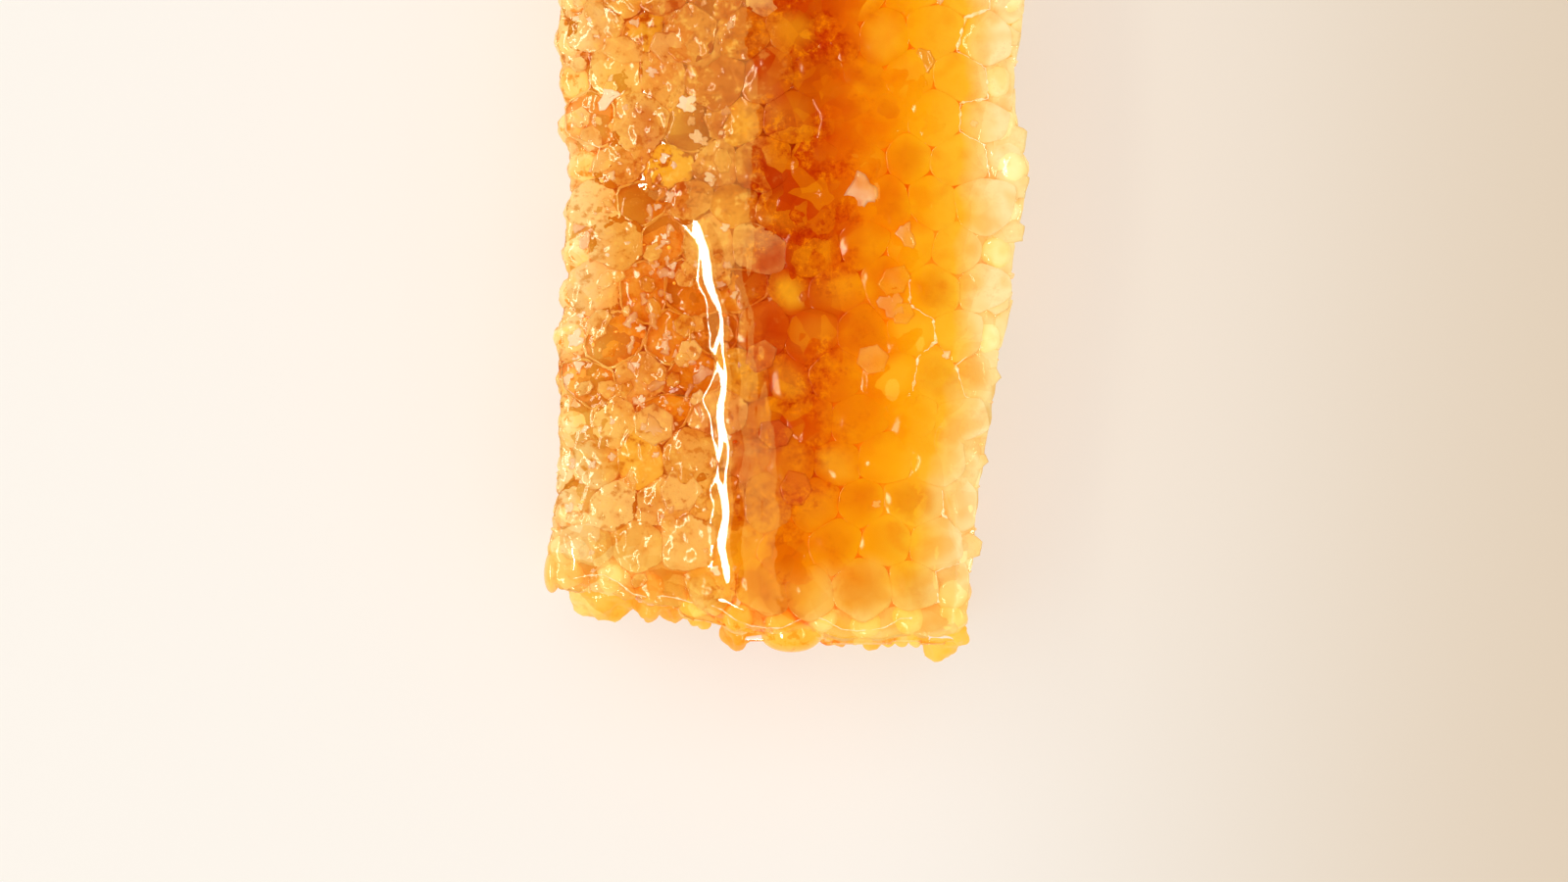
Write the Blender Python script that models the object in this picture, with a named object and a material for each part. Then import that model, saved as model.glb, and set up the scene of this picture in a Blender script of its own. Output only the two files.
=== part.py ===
"""A cut piece of honeycomb, lying on its back face with its shown face up.

The comb is one solid: two layers of six-sided wax cells, back to back, filled with honey.
X runs across the piece, +Y from its foot to its head, +Z up through its thickness.
Every face shows its cells: capped ones stand up as low domes with seams between them, and
opened ones sink below the seams. Knife cuts bound the sides, the head and the foot, and
leave a shallow scallop at each cell that they pass through.
"""

import math
import random

import bmesh
import bpy
from mathutils import Matrix, Vector, noise

# Driving dimensions, in metres.
CELL = 0.0053  # one worker cell across its flats, which is the pitch along a row
LENGTH = 0.096  # head to foot
WIDTH = 0.050  # across the head, without the lobes of the sides
THICKNESS = 0.026  # back face to shown face

# Shape of the cut sides, worked out from the above. Each lobe of a side is its height above
# the foot, how far it stands out and how far it spreads.
ROW = CELL * math.sqrt(3) / 2  # pitch from one row of cells to the next
HALF_LENGTH = LENGTH / 2
LEFT_X = -WIDTH / 2
RIGHT_X = WIDTH / 2
TAPER = 0.104 * WIDTH  # how far the right side draws in towards the foot
LEFT_LEAN = 0.012 * WIDTH  # how far the left side draws in towards the head
RIGHT_LOBES = ((0.0695, 0.0012, 0.004), (0.051, 0.0014, 0.0045), (0.038, 0.0006, 0.0025))
LEFT_LOBES = ((0.010, 0.0010, 0.005), (0.052, -0.0009, 0.0035), (0.067, 0.0005, 0.003))
FOOT_RISE = 0.05 * LENGTH  # how much shorter the left side is than the right
FOOT_SLANT = 0.03 * LENGTH  # how much shorter the shown face is than the back face
CORNER = 0.0035  # rounding of the four upright corners
SCALLOP = 0.0005  # depth of the hollow where a cut opens a cell
WAVER = 0.0007  # slow waver of the knife along a side
TORN_ENDS = 0.0019  # the foot and the head are rougher than the sides
LEVELS = (-0.05, 0.3, 0.7, 1.08)  # heights of the cut sides' rings, in thicknesses
POINTS_PER_CELL = 4  # points along a cut side for each cell that it passes

# Shape of the two faces.
SEAM_DEPTH = 0.0009  # seams below the highest caps of the shown face
BACK_SEAM = 0.0007  # seams above the back caps, which rest flat on z = 0
CAP_RISE = (0.00035, 0.0009)  # a cap's height above its seams
CAP_INSET = (0.00065, 0.00105)  # width of a cap's sloping border
OPENED_DEPTH = (0.0005, 0.0011)  # an opened cell's honey below its seams
OPENED_SHARE = 0.16  # how many cells are opened
FACE_SWELL = 0.0006  # slow swell of the shown face
EDGE_ROLL = 0.0013  # how far the shown face rolls down at its edges
ROLL_WIDTH = 0.004  # how far from an edge that roll begins
REACH = 0.004  # how far the sheets of cells run past the cuts
DEEP = 0.006  # how far a sheet's block runs past the opposite face

COLOURS = {"honeycomb": (0.93, 0.42, 0.05)}


def smoothstep(low, high, value):
    """0 below low, 1 above high, and a smooth rise between them."""
    t = min(max((value - low) / (high - low), 0.0), 1.0)
    return t * t * (3 - 2 * t)


def bulge(lobes, y):
    """How far a side stands out at y, from its lobes."""
    out = 0.0
    for up, reach, spread in lobes:
        out += reach * math.exp(-(((y + HALF_LENGTH - up) / spread) ** 2))
    return out


def left_side(y):
    """X of the left cut at y: nearly straight, leaning in a little towards the head."""
    lean = LEFT_LEAN * smoothstep(-HALF_LENGTH, HALF_LENGTH * 0.3, y)
    return LEFT_X + lean - bulge(LEFT_LOBES, y)


def right_side(y):
    """X of the right cut at y: straight at the head, drawing in towards the foot."""
    taper = TAPER * (1 - smoothstep(-HALF_LENGTH, HALF_LENGTH * 0.06, y))
    return RIGHT_X - taper + bulge(RIGHT_LOBES, y)


def foot_side(x, share):
    """Y of the foot's cut at x. Share runs from 0 at the back face to 1 at the shown face."""
    rise = FOOT_RISE * (1 - smoothstep(LEFT_X, LEFT_X + WIDTH * 0.55, x))
    return -HALF_LENGTH + rise + FOOT_SLANT * share


def scallop(along, pitch):
    """Depth of the hollow at a distance along a cut, with cells at this pitch."""
    return SCALLOP * abs(math.sin(math.pi * along / pitch))


def waver(x, y, z, size, scale):
    """Uneven in and out of a cut, from smooth noise whose lumps are about scale across."""
    return size * noise.noise(Vector((x, y, z * 1.6)) / scale)


def steps(start, end, count):
    """Count evenly spaced values from start to end, keeping clear of the corner at each."""
    gap = math.copysign(CORNER * 0.3, end - start)
    span = end - start - 2 * gap
    return [start + gap + span * i / (count - 1) for i in range(count)]


def cut_points(share):
    """The closed line of the cuts at one height, anticlockwise from the foot's left corner."""
    z = share * THICKNESS
    across = round(WIDTH / CELL * POINTS_PER_CELL)
    along = round(LENGTH / ROW * POINTS_PER_CELL)
    foot_left = foot_side(LEFT_X, share)
    foot_right = foot_side(RIGHT_X, share)
    points = []
    for x in steps(left_side(foot_left), right_side(foot_right), across):
        y = foot_side(x, share) + scallop(x, CELL) + waver(x, -1, z, TORN_ENDS, 0.006)
        points.append((x, y))
    for y in steps(foot_right, HALF_LENGTH, along):
        x = right_side(y) - scallop(y, ROW) + waver(1, y, z, WAVER, 0.008)
        points.append((x, y))
    for x in steps(right_side(HALF_LENGTH), left_side(HALF_LENGTH), across):
        y = HALF_LENGTH - scallop(x, CELL) + waver(x, 1, z, TORN_ENDS, 0.006)
        points.append((x, y))
    for y in steps(HALF_LENGTH, foot_left, along):
        x = left_side(y) + scallop(y, ROW) + waver(-1, y, z, WAVER, 0.008)
        points.append((x, y))
    return [round_corner(x, y, share) for x, y in points]


def round_corner(x, y, share):
    """Moves a point of the cut line in to the rounded corner that it is near, if any."""
    centre_x = left_side(y) + CORNER if x < 0 else right_side(y) - CORNER
    centre_y = foot_side(x, share) + CORNER if y < 0 else HALF_LENGTH - CORNER
    out_x = (x - centre_x) * (-1 if x < 0 else 1)
    out_y = (y - centre_y) * (-1 if y < 0 else 1)
    if out_x <= 0 or out_y <= 0:
        return x, y
    pull = CORNER / max(math.hypot(out_x, out_y), CORNER)
    return centre_x + (x - centre_x) * pull, centre_y + (y - centre_y) * pull


def material(name):
    """A glossy Principled material in one of the piece's colours."""
    made = bpy.data.materials.new(name)
    made.use_nodes = True
    shader = made.node_tree.nodes["Principled BSDF"]
    shader.inputs["Base Color"].default_value = (*COLOURS[name], 1)
    shader.inputs["Roughness"].default_value = 0.25
    shader.inputs["Metallic"].default_value = 0.0
    return made


def new_object(name, bm, collection):
    """Makes an object of this bmesh, with its faces pointing outwards."""
    bmesh.ops.recalc_face_normals(bm, faces=bm.faces)
    mesh = bpy.data.meshes.new(name)
    bm.to_mesh(mesh)
    bm.free()
    obj = bpy.data.objects.new(name, mesh)
    collection.objects.link(obj)
    return obj


def cut_block(collection):
    """The block between the cuts: one closed line, extruded from level to level."""
    rings = [cut_points(share) for share in LEVELS]
    bm = bmesh.new()
    bmesh.ops.create_circle(bm, cap_ends=True, segments=len(rings[0]), radius=WIDTH)
    ring = list(bm.verts)
    top = next(iter(bm.faces))
    for vert, (x, y) in zip(ring, rings[0], strict=True):
        vert.co = (x, y, LEVELS[0] * THICKNESS)
    for share, points in zip(LEVELS[1:], rings[1:], strict=True):
        made = bmesh.ops.extrude_face_region(bm, geom=[top, *top.edges, *top.verts])["geom"]
        top = next(g for g in made if isinstance(g, bmesh.types.BMFace))
        place = {vert: place_above(vert, ring) for vert in top.verts}
        ring = sorted(top.verts, key=place.get)
        for vert, (x, y) in zip(ring, points, strict=True):
            vert.co = (x, y, share * THICKNESS)
    return new_object("comb", bm, collection)


def place_above(vert, ring):
    """The place in the ring below of the vertex that this one was extruded from."""
    places = {below: i for i, below in enumerate(ring)}
    for edge in vert.link_edges:
        other = edge.other_vert(vert)
        if other in places:
            return places[other]
    raise ValueError("an extruded point has no point below it")


def cell_centres(shift_x, shift_y):
    """Centres of a staggered lattice of cells that covers the whole piece."""
    columns = math.ceil((WIDTH / 2 + REACH) / CELL)
    rows = math.ceil((HALF_LENGTH + REACH) / ROW)
    for row in range(-rows, rows + 1):
        stagger = CELL / 2 if row % 2 else 0.0
        for column in range(-columns, columns + 1):
            yield column * CELL + stagger + shift_x, row * ROW + shift_y


def face_height(x, y):
    """Height of the shown face's seams: a slow swell that rolls down towards the cuts."""
    swell = FACE_SWELL * noise.noise(Vector((x, y, 0)) / 0.017)
    inside = min(
        x - left_side(y),
        right_side(y) - x,
        y - foot_side(x, 1),
        HALF_LENGTH - y,
    )
    roll = EDGE_ROLL * (1 - smoothstep(0, ROLL_WIDTH, inside))
    return THICKNESS - SEAM_DEPTH + swell - roll


def cell_sheet(shift_x, shift_y):
    """A flat sheet of joined six-sided cells, and its bmesh."""
    bm = bmesh.new()
    for x, y in cell_centres(shift_x, shift_y):
        bmesh.ops.create_circle(
            bm,
            cap_ends=True,
            segments=6,
            radius=CELL / math.sqrt(3),
            matrix=Matrix.Translation((x, y, 0)),
        )
    bmesh.ops.remove_doubles(bm, verts=bm.verts, dist=CELL * 0.01)
    return bm


def raise_caps(bm, rng, rises):
    """Insets each cell, and lifts its middle into a cap or sinks it to the honey."""
    for cell in bm.faces[:]:
        opened = rng.random() < OPENED_SHARE
        depth = -rng.uniform(*OPENED_DEPTH) if opened else rng.uniform(*rises)
        inset = rng.uniform(*CAP_INSET)
        bmesh.ops.inset_individual(bm, faces=[cell], thickness=inset, depth=depth)


def close_sheet(bm, height):
    """Draws the sheet's border to this height and fills it there, which makes a block."""
    border = [edge for edge in bm.edges if edge.is_boundary]
    made = bmesh.ops.extrude_edge_only(bm, edges=border)["geom"]
    for vert in (g for g in made if isinstance(g, bmesh.types.BMVert)):
        vert.co.z = height
    rim = [edge for edge in bm.edges if edge.is_boundary]
    bmesh.ops.holes_fill(bm, edges=rim, sides=len(rim))


def shown_cells(collection):
    """The block below the shown face: its top is that face's caps and opened cells."""
    rng = random.Random(11)
    bm = cell_sheet(0.0, 0.0)
    raise_caps(bm, rng, CAP_RISE)
    for vert in bm.verts:
        vert.co.z = min(vert.co.z + face_height(vert.co.x, vert.co.y), THICKNESS)
    close_sheet(bm, -DEEP)
    return new_object("shown_cells", bm, collection)


def back_cells(collection):
    """The block above the back face. Its cells sit a third of a cell off the shown ones."""
    rng = random.Random(23)
    bm = cell_sheet(0.0, CELL / math.sqrt(3))
    raise_caps(bm, rng, (BACK_SEAM, BACK_SEAM))
    for vert in bm.verts:
        vert.co.z = BACK_SEAM - vert.co.z
    close_sheet(bm, THICKNESS + DEEP)
    return new_object("back_cells", bm, collection)


def keep_inside(obj, other):
    """Cuts obj down to what lies inside other, which then only guides."""
    cut = obj.modifiers.new(f"inside_{other.name}", "BOOLEAN")
    cut.operation = "INTERSECT"
    cut.object = other
    other.hide_render = True
    other.display_type = "WIRE"


def shift_to_origin(obj):
    """The move that takes the middle of the base of obj's box to the origin."""
    graph = bpy.context.evaluated_depsgraph_get()
    corners = [Vector(corner) for corner in obj.evaluated_get(graph).bound_box]
    low = Vector(min(c[axis] for c in corners) for axis in range(3))
    high = Vector(max(c[axis] for c in corners) for axis in range(3))
    return Vector((-(low.x + high.x) / 2, -(low.y + high.y) / 2, -low.z))


def main():
    for obj in list(bpy.data.objects):
        bpy.data.objects.remove(obj)
    parts = bpy.data.collections.new("honeycomb_piece")
    guides = bpy.data.collections.new("guides")
    bpy.context.scene.collection.children.link(parts)
    bpy.context.scene.collection.children.link(guides)

    comb = cut_block(parts)
    comb.data.materials.append(material("honeycomb"))
    blocks = [shown_cells(guides), back_cells(guides)]
    for block in blocks:
        keep_inside(comb, block)
    shift = shift_to_origin(comb)
    for obj in (comb, *blocks):
        obj.location = shift


main()
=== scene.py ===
"""Looks of a cut piece of honeycomb that lies on its back with its shown face up.

X runs across the piece, +Y from its foot to its head and +Z out of its shown face, in metres.
Wax cells full of honey stand over both faces, and cells that the knife opened lie along the
cuts. Clear honey runs down the middle of the shown face and gathers at the foot.
"""

import math
import random

import bmesh
import bpy
import numpy as np
from mathutils import Matrix, Vector, noise
from mathutils.bvhtree import BVHTree


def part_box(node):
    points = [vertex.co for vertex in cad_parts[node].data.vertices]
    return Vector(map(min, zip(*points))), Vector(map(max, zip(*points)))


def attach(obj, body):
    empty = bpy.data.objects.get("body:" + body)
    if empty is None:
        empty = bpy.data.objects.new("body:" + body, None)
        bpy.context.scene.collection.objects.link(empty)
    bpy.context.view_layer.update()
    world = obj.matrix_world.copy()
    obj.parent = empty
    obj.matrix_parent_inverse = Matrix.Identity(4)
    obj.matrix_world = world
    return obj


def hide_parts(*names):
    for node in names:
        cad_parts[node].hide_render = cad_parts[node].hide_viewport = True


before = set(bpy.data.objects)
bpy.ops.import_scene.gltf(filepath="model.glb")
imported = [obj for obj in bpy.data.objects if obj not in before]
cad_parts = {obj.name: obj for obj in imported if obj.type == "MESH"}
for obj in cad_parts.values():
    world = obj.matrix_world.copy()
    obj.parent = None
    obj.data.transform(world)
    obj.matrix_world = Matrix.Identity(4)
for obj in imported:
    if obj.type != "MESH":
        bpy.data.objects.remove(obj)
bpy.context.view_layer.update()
LOW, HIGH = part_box("comb")

bl_info = {
    "name": "Honeycomb piece",
    "version": (1, 0, 0),
    "blender": (4, 5, 0),
    "location": "View3D > Sidebar > Honeycomb",
    "description": "Cut honeycomb with capped and open cells, flakes of wax and runny honey",
    "category": "Mesh",
}

MM = 0.001

# The comb's make-up, as the frame has it.
CELL = 5.3 * MM  # one cell across its flats
ROW = CELL * math.sqrt(3) / 2  # from one row of cells to the next
SIDE = CELL / math.sqrt(3)  # one side of a cell, and its reach to a corner
SEAM_DEPTH = 0.9 * MM  # the shown face's seams below the top of the frame
EDGE_ROLL = 1.3 * MM  # how far the shown face rolls down at its edges
ROLL_WIDTH = 4.0 * MM  # how far from an edge that roll begins
MIDRIB = (LOW.z + HIGH.z) / 2
FACE = HIGH.z - SEAM_DEPTH
FOOT = LOW.y  # its lowest point, from which all distances up the shown face are taken

# Cells.
PIT_DEPTH = 1.1 * MM  # how much further the honey lies down between the caps on the left
EDGE_ROUND = 0.14 * MM  # rounding of a cell's upper edge
CORNER_FLAT = 8  # degrees from a cell's corner to each end of the flat across it
OPEN_SWELL = 1.05  # how far cells full of honey swell over their walls
TORN_LEFT = 0.18  # share of torn cells in the left third
TORN_HOLLOW = 0.62  # the further share of them in the hollow left of the run
CAPPED_LEFT = 0.62  # share of capped cells in the left third

# The film of clear honey and its run.
FILM_STEP = 0.32 * MM  # its mesh size
FILM_DEPTH = 1.2 * MM  # its thickness
FILM_ROLL = 2.8 * MM  # how far it rolls down at its edges
SHORE_DROP = 2.6 * MM  # how far it drops left of the run
SIDE_MARGIN = 1.3 * MM  # it ends this far from the side cuts
RUN_HEIGHT = 0.165 * MM  # the run that stands up from the film, left of its crown
RUN_WIDTH = 0.78 * MM
FINE_RIDGES = (
    # right of the run: distance from it, height and width
    (2.0 * MM, 0.048 * MM, 0.17 * MM),
    (2.9 * MM, 0.040 * MM, 0.16 * MM),
)

# Scraps, wrinkles and threads of wax.
FLAKES = 210  # flakes that lie scattered, besides those that stand out
SLABS = 120  # broken caps that lie scattered, besides those that stand out
GRAINS = 320
WORMS = 24  # short wrinkles left of the run
WORM_GAP = 1.8 * MM  # least distance from one wrinkle's start to the next
WORM_STEP = 0.75 * MM  # from one bend of a wrinkle to the next
WORM_TINT = (0.4, 0.8, 0.5, 1.0)  # shade, hue, nearness to a rim
COLUMN_RADIUS = 2.35 * MM  # honey in the cells that the knife opened
THREAD_NECK = 0.45  # how thick a thread is between its beads, as a share of its radius
HEM_POINTS = 24  # bends of the film's pale lower edge
HEM_PITCH = 1.6 * MM  # from one of them to the next
ALL_RIM = 1.0  # nearness to the rim, for a template that is rim all over
NEAR_MIDDLE = 0.3  # the same for one that has no rim

# Light.
DIM = 0.95  # makes up for the painted glow, so that lit honey has the colours set below
PAINTED_GLOW = 0.22  # how much painted glow the comb gives off in its own colour, for light that comes through it
EDGE_PAINTED_GLOW = 0.48  # the same painted glow at the cuts, where the light has less honey to pass
HONEY_IOR = 1.49
LEFT_CUT = -25.4 * MM  # where the colours across the piece begin
RIGHT_CUT = 25.6 * MM  # where they end in its upper half
RIGHT_AT_FOOT = 20.3 * MM  # where they end at the foot, as the right cut slants in
SHADE_WIDTH = 0.10  # over which the table's painted shade grows darker right of the piece


def srgb(red, green, blue):
    """A display colour, 0 to 255, as the linear values that materials use."""
    return tuple(linear(part / 255) for part in (red, green, blue))


def linear(part):
    """One display value, 0 to 1, as a linear one."""
    if part <= 0.04045:
        return part / 12.92
    return ((part + 0.055) / 1.055) ** 2.4


def smoothstep(low, high, value):
    """0 below low, 1 above high, and a smooth rise between them."""
    t = min(max((value - low) / (high - low), 0.0), 1.0)
    return t * t * (3 - 2 * t)


# Filters through which honey and wax are seen where they lie deeper, and painted shade.
RICH = srgb(245, 228, 205)
MURKY = srgb(250, 205, 120)
SHARD = srgb(240, 205, 130)
BURNT = srgb(230, 160, 70)
# Painted shade of the honey down between the cells, stronger on the left.
SHADOW = srgb(255, 248, 230)
LEFT_SHADOW = srgb(222, 188, 104)
DARK_CELL = srgb(238, 195, 125)
SEAM_BROWN = srgb(228, 180, 96)
CRUST = srgb(222, 168, 84)
SOAKED_WAX = srgb(232, 158, 96)


# --- Properties -----------------------------------------------------------------------------


def colour(name, description, default):
    """A colour property with this display colour as its default."""
    return bpy.props.FloatVectorProperty(
        name=name,
        description=description,
        subtype="COLOR",
        size=3,
        min=0.0,
        max=1.0,
        default=srgb(*default),
    )


def length(name, description, default):
    """A length property, in metres."""
    return bpy.props.FloatProperty(
        name=name,
        description=description,
        subtype="DISTANCE",
        unit="LENGTH",
        default=default,
        precision=5,
    )


class CombSizes(bpy.types.PropertyGroup):
    """Sizes of the piece's wax and honey."""

    body_voxel: length("Body grain", "Mesh size of the honey under the cells", 0.75 * MM)
    body_sink: length("Body sink", "How far that honey lies below the seams", 0.40 * MM)
    cell_gap: length("Cell gap", "Gap between neighbouring cells", 0.06 * MM)
    cell_depth: length("Cell depth", "How deep each cell reaches into the comb", 2.6 * MM)
    warp: length("Warp", "How far the cells wander from an even lattice", 1.25 * MM)
    film_rise: length("Film rise", "Crown of the honey film above the seams", 1.45 * MM)
    film_radius: length("Film radius", "Radius of the film across the piece", 70 * MM)


class CombColours(bpy.types.PropertyGroup):
    """Colours of the honey, by how much of it the light comes through, and of the wax."""

    straw: colour("Straw", "Thinnest honey, at the left cut", (254, 218, 150))
    sunny: colour("Sunny", "Yellow patches of the left third", (251, 192, 84))
    sand: colour("Sand", "Thin honey near the left cut", (249, 180, 78))
    amber: colour("Amber", "Left third", (232, 138, 40))
    hollow: colour("Hollow", "Honey in the hollow left of the run", (225, 122, 10))
    copper: colour("Copper", "Left of the middle", (224, 120, 24))
    ember: colour("Ember", "Thickest honey, in the middle", (209, 76, 1))
    tangerine: colour("Tangerine", "Right of the middle", (229, 106, 2))
    marigold: colour("Marigold", "Right third", (248, 143, 2))
    saffron: colour("Saffron", "Thin honey on the right", (253, 168, 12))
    lemon: colour("Lemon", "Thinner honey near the right cut", (254, 190, 46))
    primrose: colour("Primrose", "Honey along the very foot", (254, 212, 118))
    cream: colour("Cream", "Thinnest honey, at the right cut", (254, 230, 165))
    cap: colour("Cap", "Wax cappings", (247, 168, 76))
    pale_cap: colour("Pale cap", "The palest cappings", (255, 206, 120))
    brown_cap: colour("Brown cap", "The darkest cappings", (224, 133, 48))
    flake: colour("Flake", "Loose flakes of wax", (255, 222, 178))
    floor: colour("Floor", "The table on the left", (253, 247, 240))
    # Painted shade: the table darker on the right.
    shaded_floor: colour("Far floor", "The table on the right", (229, 210, 187))


# --- Working by hand ------------------------------------------------------------------------


def deselect_all():
    """Leaves object mode with nothing selected."""
    if bpy.context.mode != "OBJECT":
        bpy.ops.object.mode_set(mode="OBJECT")
    bpy.ops.object.select_all(action="DESELECT")


def select_only(obj):
    """Selects obj alone and makes it active."""
    deselect_all()
    obj.select_set(True)
    bpy.context.view_layer.objects.active = obj


def take_new(name):
    """Names the object that an operator has just added, and its mesh."""
    obj = bpy.context.active_object
    obj.name = name
    obj.data.name = name
    return obj


def select_faces(obj, wanted):
    """In edit mode, selects just the faces for which wanted(face) holds."""
    bpy.ops.mesh.select_all(action="DESELECT")
    bpy.context.tool_settings.mesh_select_mode = (False, False, True)
    bm = bmesh.from_edit_mesh(obj.data)
    for face in bm.faces:
        face.select_set(bool(wanted(face)))
    bmesh.update_edit_mesh(obj.data)


def modifier(obj, kind, **settings):
    """Adds a modifier with these settings and applies it."""
    select_only(obj)
    made = obj.modifiers.new(kind.title(), kind)
    for key, value in settings.items():
        setattr(made, key, value)
    bpy.ops.object.modifier_apply(modifier=made.name)


def subdivide_smooth(obj, levels):
    """Applies a Subdivision Surface of this many levels."""
    modifier(obj, "SUBSURF", levels=levels, render_levels=levels)


def lump(obj, scale, strength):
    """Pushes a surface in and out by a soft noise whose lumps are about scale across."""
    texture = bpy.data.textures.new(f"{obj.name}_lumps", "CLOUDS")
    texture.noise_scale = scale
    texture.noise_depth = 1
    modifier(
        obj,
        "DISPLACE",
        texture=texture,
        texture_coords="LOCAL",
        strength=strength,
        mid_level=0.5,
    )


def roughen(obj, scale, left, right):
    """Pushes a surface in and out by a noise of this scale. Left and right are its heights
    in the left third and in the rest."""
    places = []
    for vert in obj.data.vertices:
        height = right + (left - right) * (1 - smoothstep(-10 * MM, -2 * MM, vert.co.x))
        places.append(vert.co + vert.normal * (height * noise.noise(vert.co / scale)))
    for vert, place in zip(obj.data.vertices, places, strict=True):
        vert.co = place


def smooth_shading(obj):
    """Shades every face smooth."""
    select_only(obj)
    bpy.ops.object.shade_smooth()


def resize(obj, size):
    """Scales a shape that is one unit across to this size, in its mesh."""
    obj.scale = size
    bpy.ops.object.transform_apply(location=True, rotation=False, scale=True)


def drop(*helpers):
    """Removes helper objects."""
    for helper in helpers:
        bpy.data.objects.remove(helper)


def split_smoothly(obj, levels):
    """Divides every face without rounding its shape off."""
    modifier(obj, "SUBSURF", subdivision_type="SIMPLE", levels=levels, render_levels=levels)


def keep_above(obj, height):
    """Raises every point that lies lower than height, so nothing reaches into the table."""
    for vert in obj.data.vertices:
        vert.co.z = max(vert.co.z, height)


def finish_piece(obj, material):
    """Gives a piece its material, and ties it to the comb's root body."""
    obj.data.materials.clear()
    obj.data.materials.append(material)
    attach(obj, "root")


# --- The comb's outline, measured on the frame ----------------------------------------------


class Outline:
    """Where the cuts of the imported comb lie, halfway up."""

    def __init__(self, node):
        points = [v.co.copy() for v in node.data.vertices]
        faces = [tuple(p.vertices) for p in node.data.polygons]
        self.tree = BVHTree.FromPolygons(points, faces)

    def nearest(self, x, y):
        """Distance in from the nearest cut, below zero outside it, and that cut's way out."""
        middle = Vector((x, y, MIDRIB))
        spot, normal, _, distance = self.tree.find_nearest(middle)
        sign = 1.0 if (middle - spot).dot(normal) < 0 else -1.0
        return sign * distance, normal

    def inside(self, x, y):
        """Distance in from the nearest cut, below zero outside it."""
        return self.nearest(x, y)[0]

    def pull_in(self, x, y, margin):
        """The nearest place to x, y that lies at least margin in from the cuts."""
        depth, normal = self.nearest(x, y)
        inward = -normal.xy
        if depth >= margin or inward.length < 0.01:
            return x, y
        return tuple(Vector((x, y)) + inward.normalized() * (margin - depth))

    def hit(self, start, way):
        """Where a ray that starts at x, y first meets a cut, or None."""
        return self.tree.ray_cast(Vector((*start, MIDRIB)), Vector((*way, 0)))[0]

    def sides(self, y):
        """X of the left and the right cut at y."""
        left = self.hit((LOW.x - CELL, y), (1, 0))
        right = self.hit((HIGH.x + CELL, y), (-1, 0))
        if left is None or right is None:
            return LOW.x, HIGH.x
        return left.x, right.x

    def foot(self, x):
        """Y of the foot's cut at x."""
        spot = self.hit((x, LOW.y - CELL), (0, 1))
        return LOW.y if spot is None else spot.y

    def walk(self, pitch):
        """Places this far apart all round the cuts, each with the way out of the comb."""
        rays = []
        for number in range(round((HIGH.y - LOW.y) / pitch)):
            y = LOW.y + pitch * (number + 0.5)
            rays.append((Vector((HIGH.x + CELL, y, MIDRIB)), Vector((-1, 0, 0))))
            rays.append((Vector((LOW.x - CELL, y, MIDRIB)), Vector((1, 0, 0))))
        for number in range(round((HIGH.x - LOW.x) / pitch)):
            x = LOW.x + pitch * (number + 0.5)
            rays.append((Vector((x, HIGH.y + CELL, MIDRIB)), Vector((0, -1, 0))))
            rays.append((Vector((x, LOW.y - CELL, MIDRIB)), Vector((0, 1, 0))))
        for start, way in rays:
            spot, normal, _, _ = self.tree.ray_cast(start, way)
            if spot is not None and -normal.dot(way) > 0.6:
                yield Vector((spot.x, spot.y, 0)), -way


outline = Outline(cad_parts["comb"])


def face_height(x, y):
    """Height of the shown face's seams, which roll down towards the cuts."""
    roll = 1 - smoothstep(0, ROLL_WIDTH, outline.inside(x, y))
    return FACE - EDGE_ROLL * roll


def hollow(x, y):
    """1 in the hollow left of the run, where most caps are torn away, and 0 outside it."""
    reach = math.hypot((x + 12.4 * MM) / (7.5 * MM), (y - FOOT - 34 * MM) / (13 * MM))
    return 1 - smoothstep(0.7, 1.1, reach)


def wander(x, y, amount):
    """Where the lattice's point x, y really lies, as bees' cells are never quite even."""
    shifts = []
    for start in (Vector((0, 0, 0)), Vector((7.3, 1.9, 4.1))):
        shift = 0.0
        for scale, share in ((11 * MM, 0.9), (4.4 * MM, 0.8), (1.7 * MM, 0.16)):
            shift += share * noise.noise(Vector((x, y, 0)) / scale + start)
        shifts.append(amount * shift)
    return x + shifts[0], y + shifts[1]


def lattice(shift_y):
    """Centres of the cells in staggered rows over the whole piece."""
    columns = math.ceil(HIGH.x / CELL) + 1
    rows = math.ceil(HIGH.y / ROW) + 1
    for row in range(-rows, rows + 1):
        stagger = CELL / 2 if row % 2 else 0.0
        for column in range(-columns, columns + 1):
            yield column * CELL + stagger, row * ROW + shift_y


# --- Pieces ---------------------------------------------------------------------------------


def make_body(sizes):
    """The honey and wax below the cells: the comb's own shape, softened and sunk a little."""
    select_only(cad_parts["comb"])
    bpy.ops.object.duplicate()
    body = take_new("comb_body")
    for key in list(body.keys()):
        del body[key]
    body.parent = None
    bpy.ops.object.mode_set(mode="EDIT")
    bpy.ops.mesh.select_all(action="SELECT")
    bpy.ops.mesh.remove_doubles(threshold=0.01 * MM)
    bpy.ops.object.mode_set(mode="OBJECT")
    modifier(body, "REMESH", mode="VOXEL", voxel_size=sizes.body_voxel)
    modifier(body, "SMOOTH", factor=0.5, iterations=8)
    modifier(body, "DISPLACE", strength=-sizes.body_sink, mid_level=0.0)
    lump(body, 2.2 * MM, 0.7 * MM)
    lump(body, 0.8 * MM, 0.25 * MM)
    keep_above(body, sizes.body_sink)
    for vert in body.data.vertices:
        if vert.co.z > FACE - ROLL_WIDTH:
            left = 1 - smoothstep(-8 * MM, 2 * MM, vert.co.x)
            vert.co.z -= PIT_DEPTH * (0.25 * left + 0.75 * hollow(vert.co.x, vert.co.y))
    smooth_shading(body)
    return body


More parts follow.
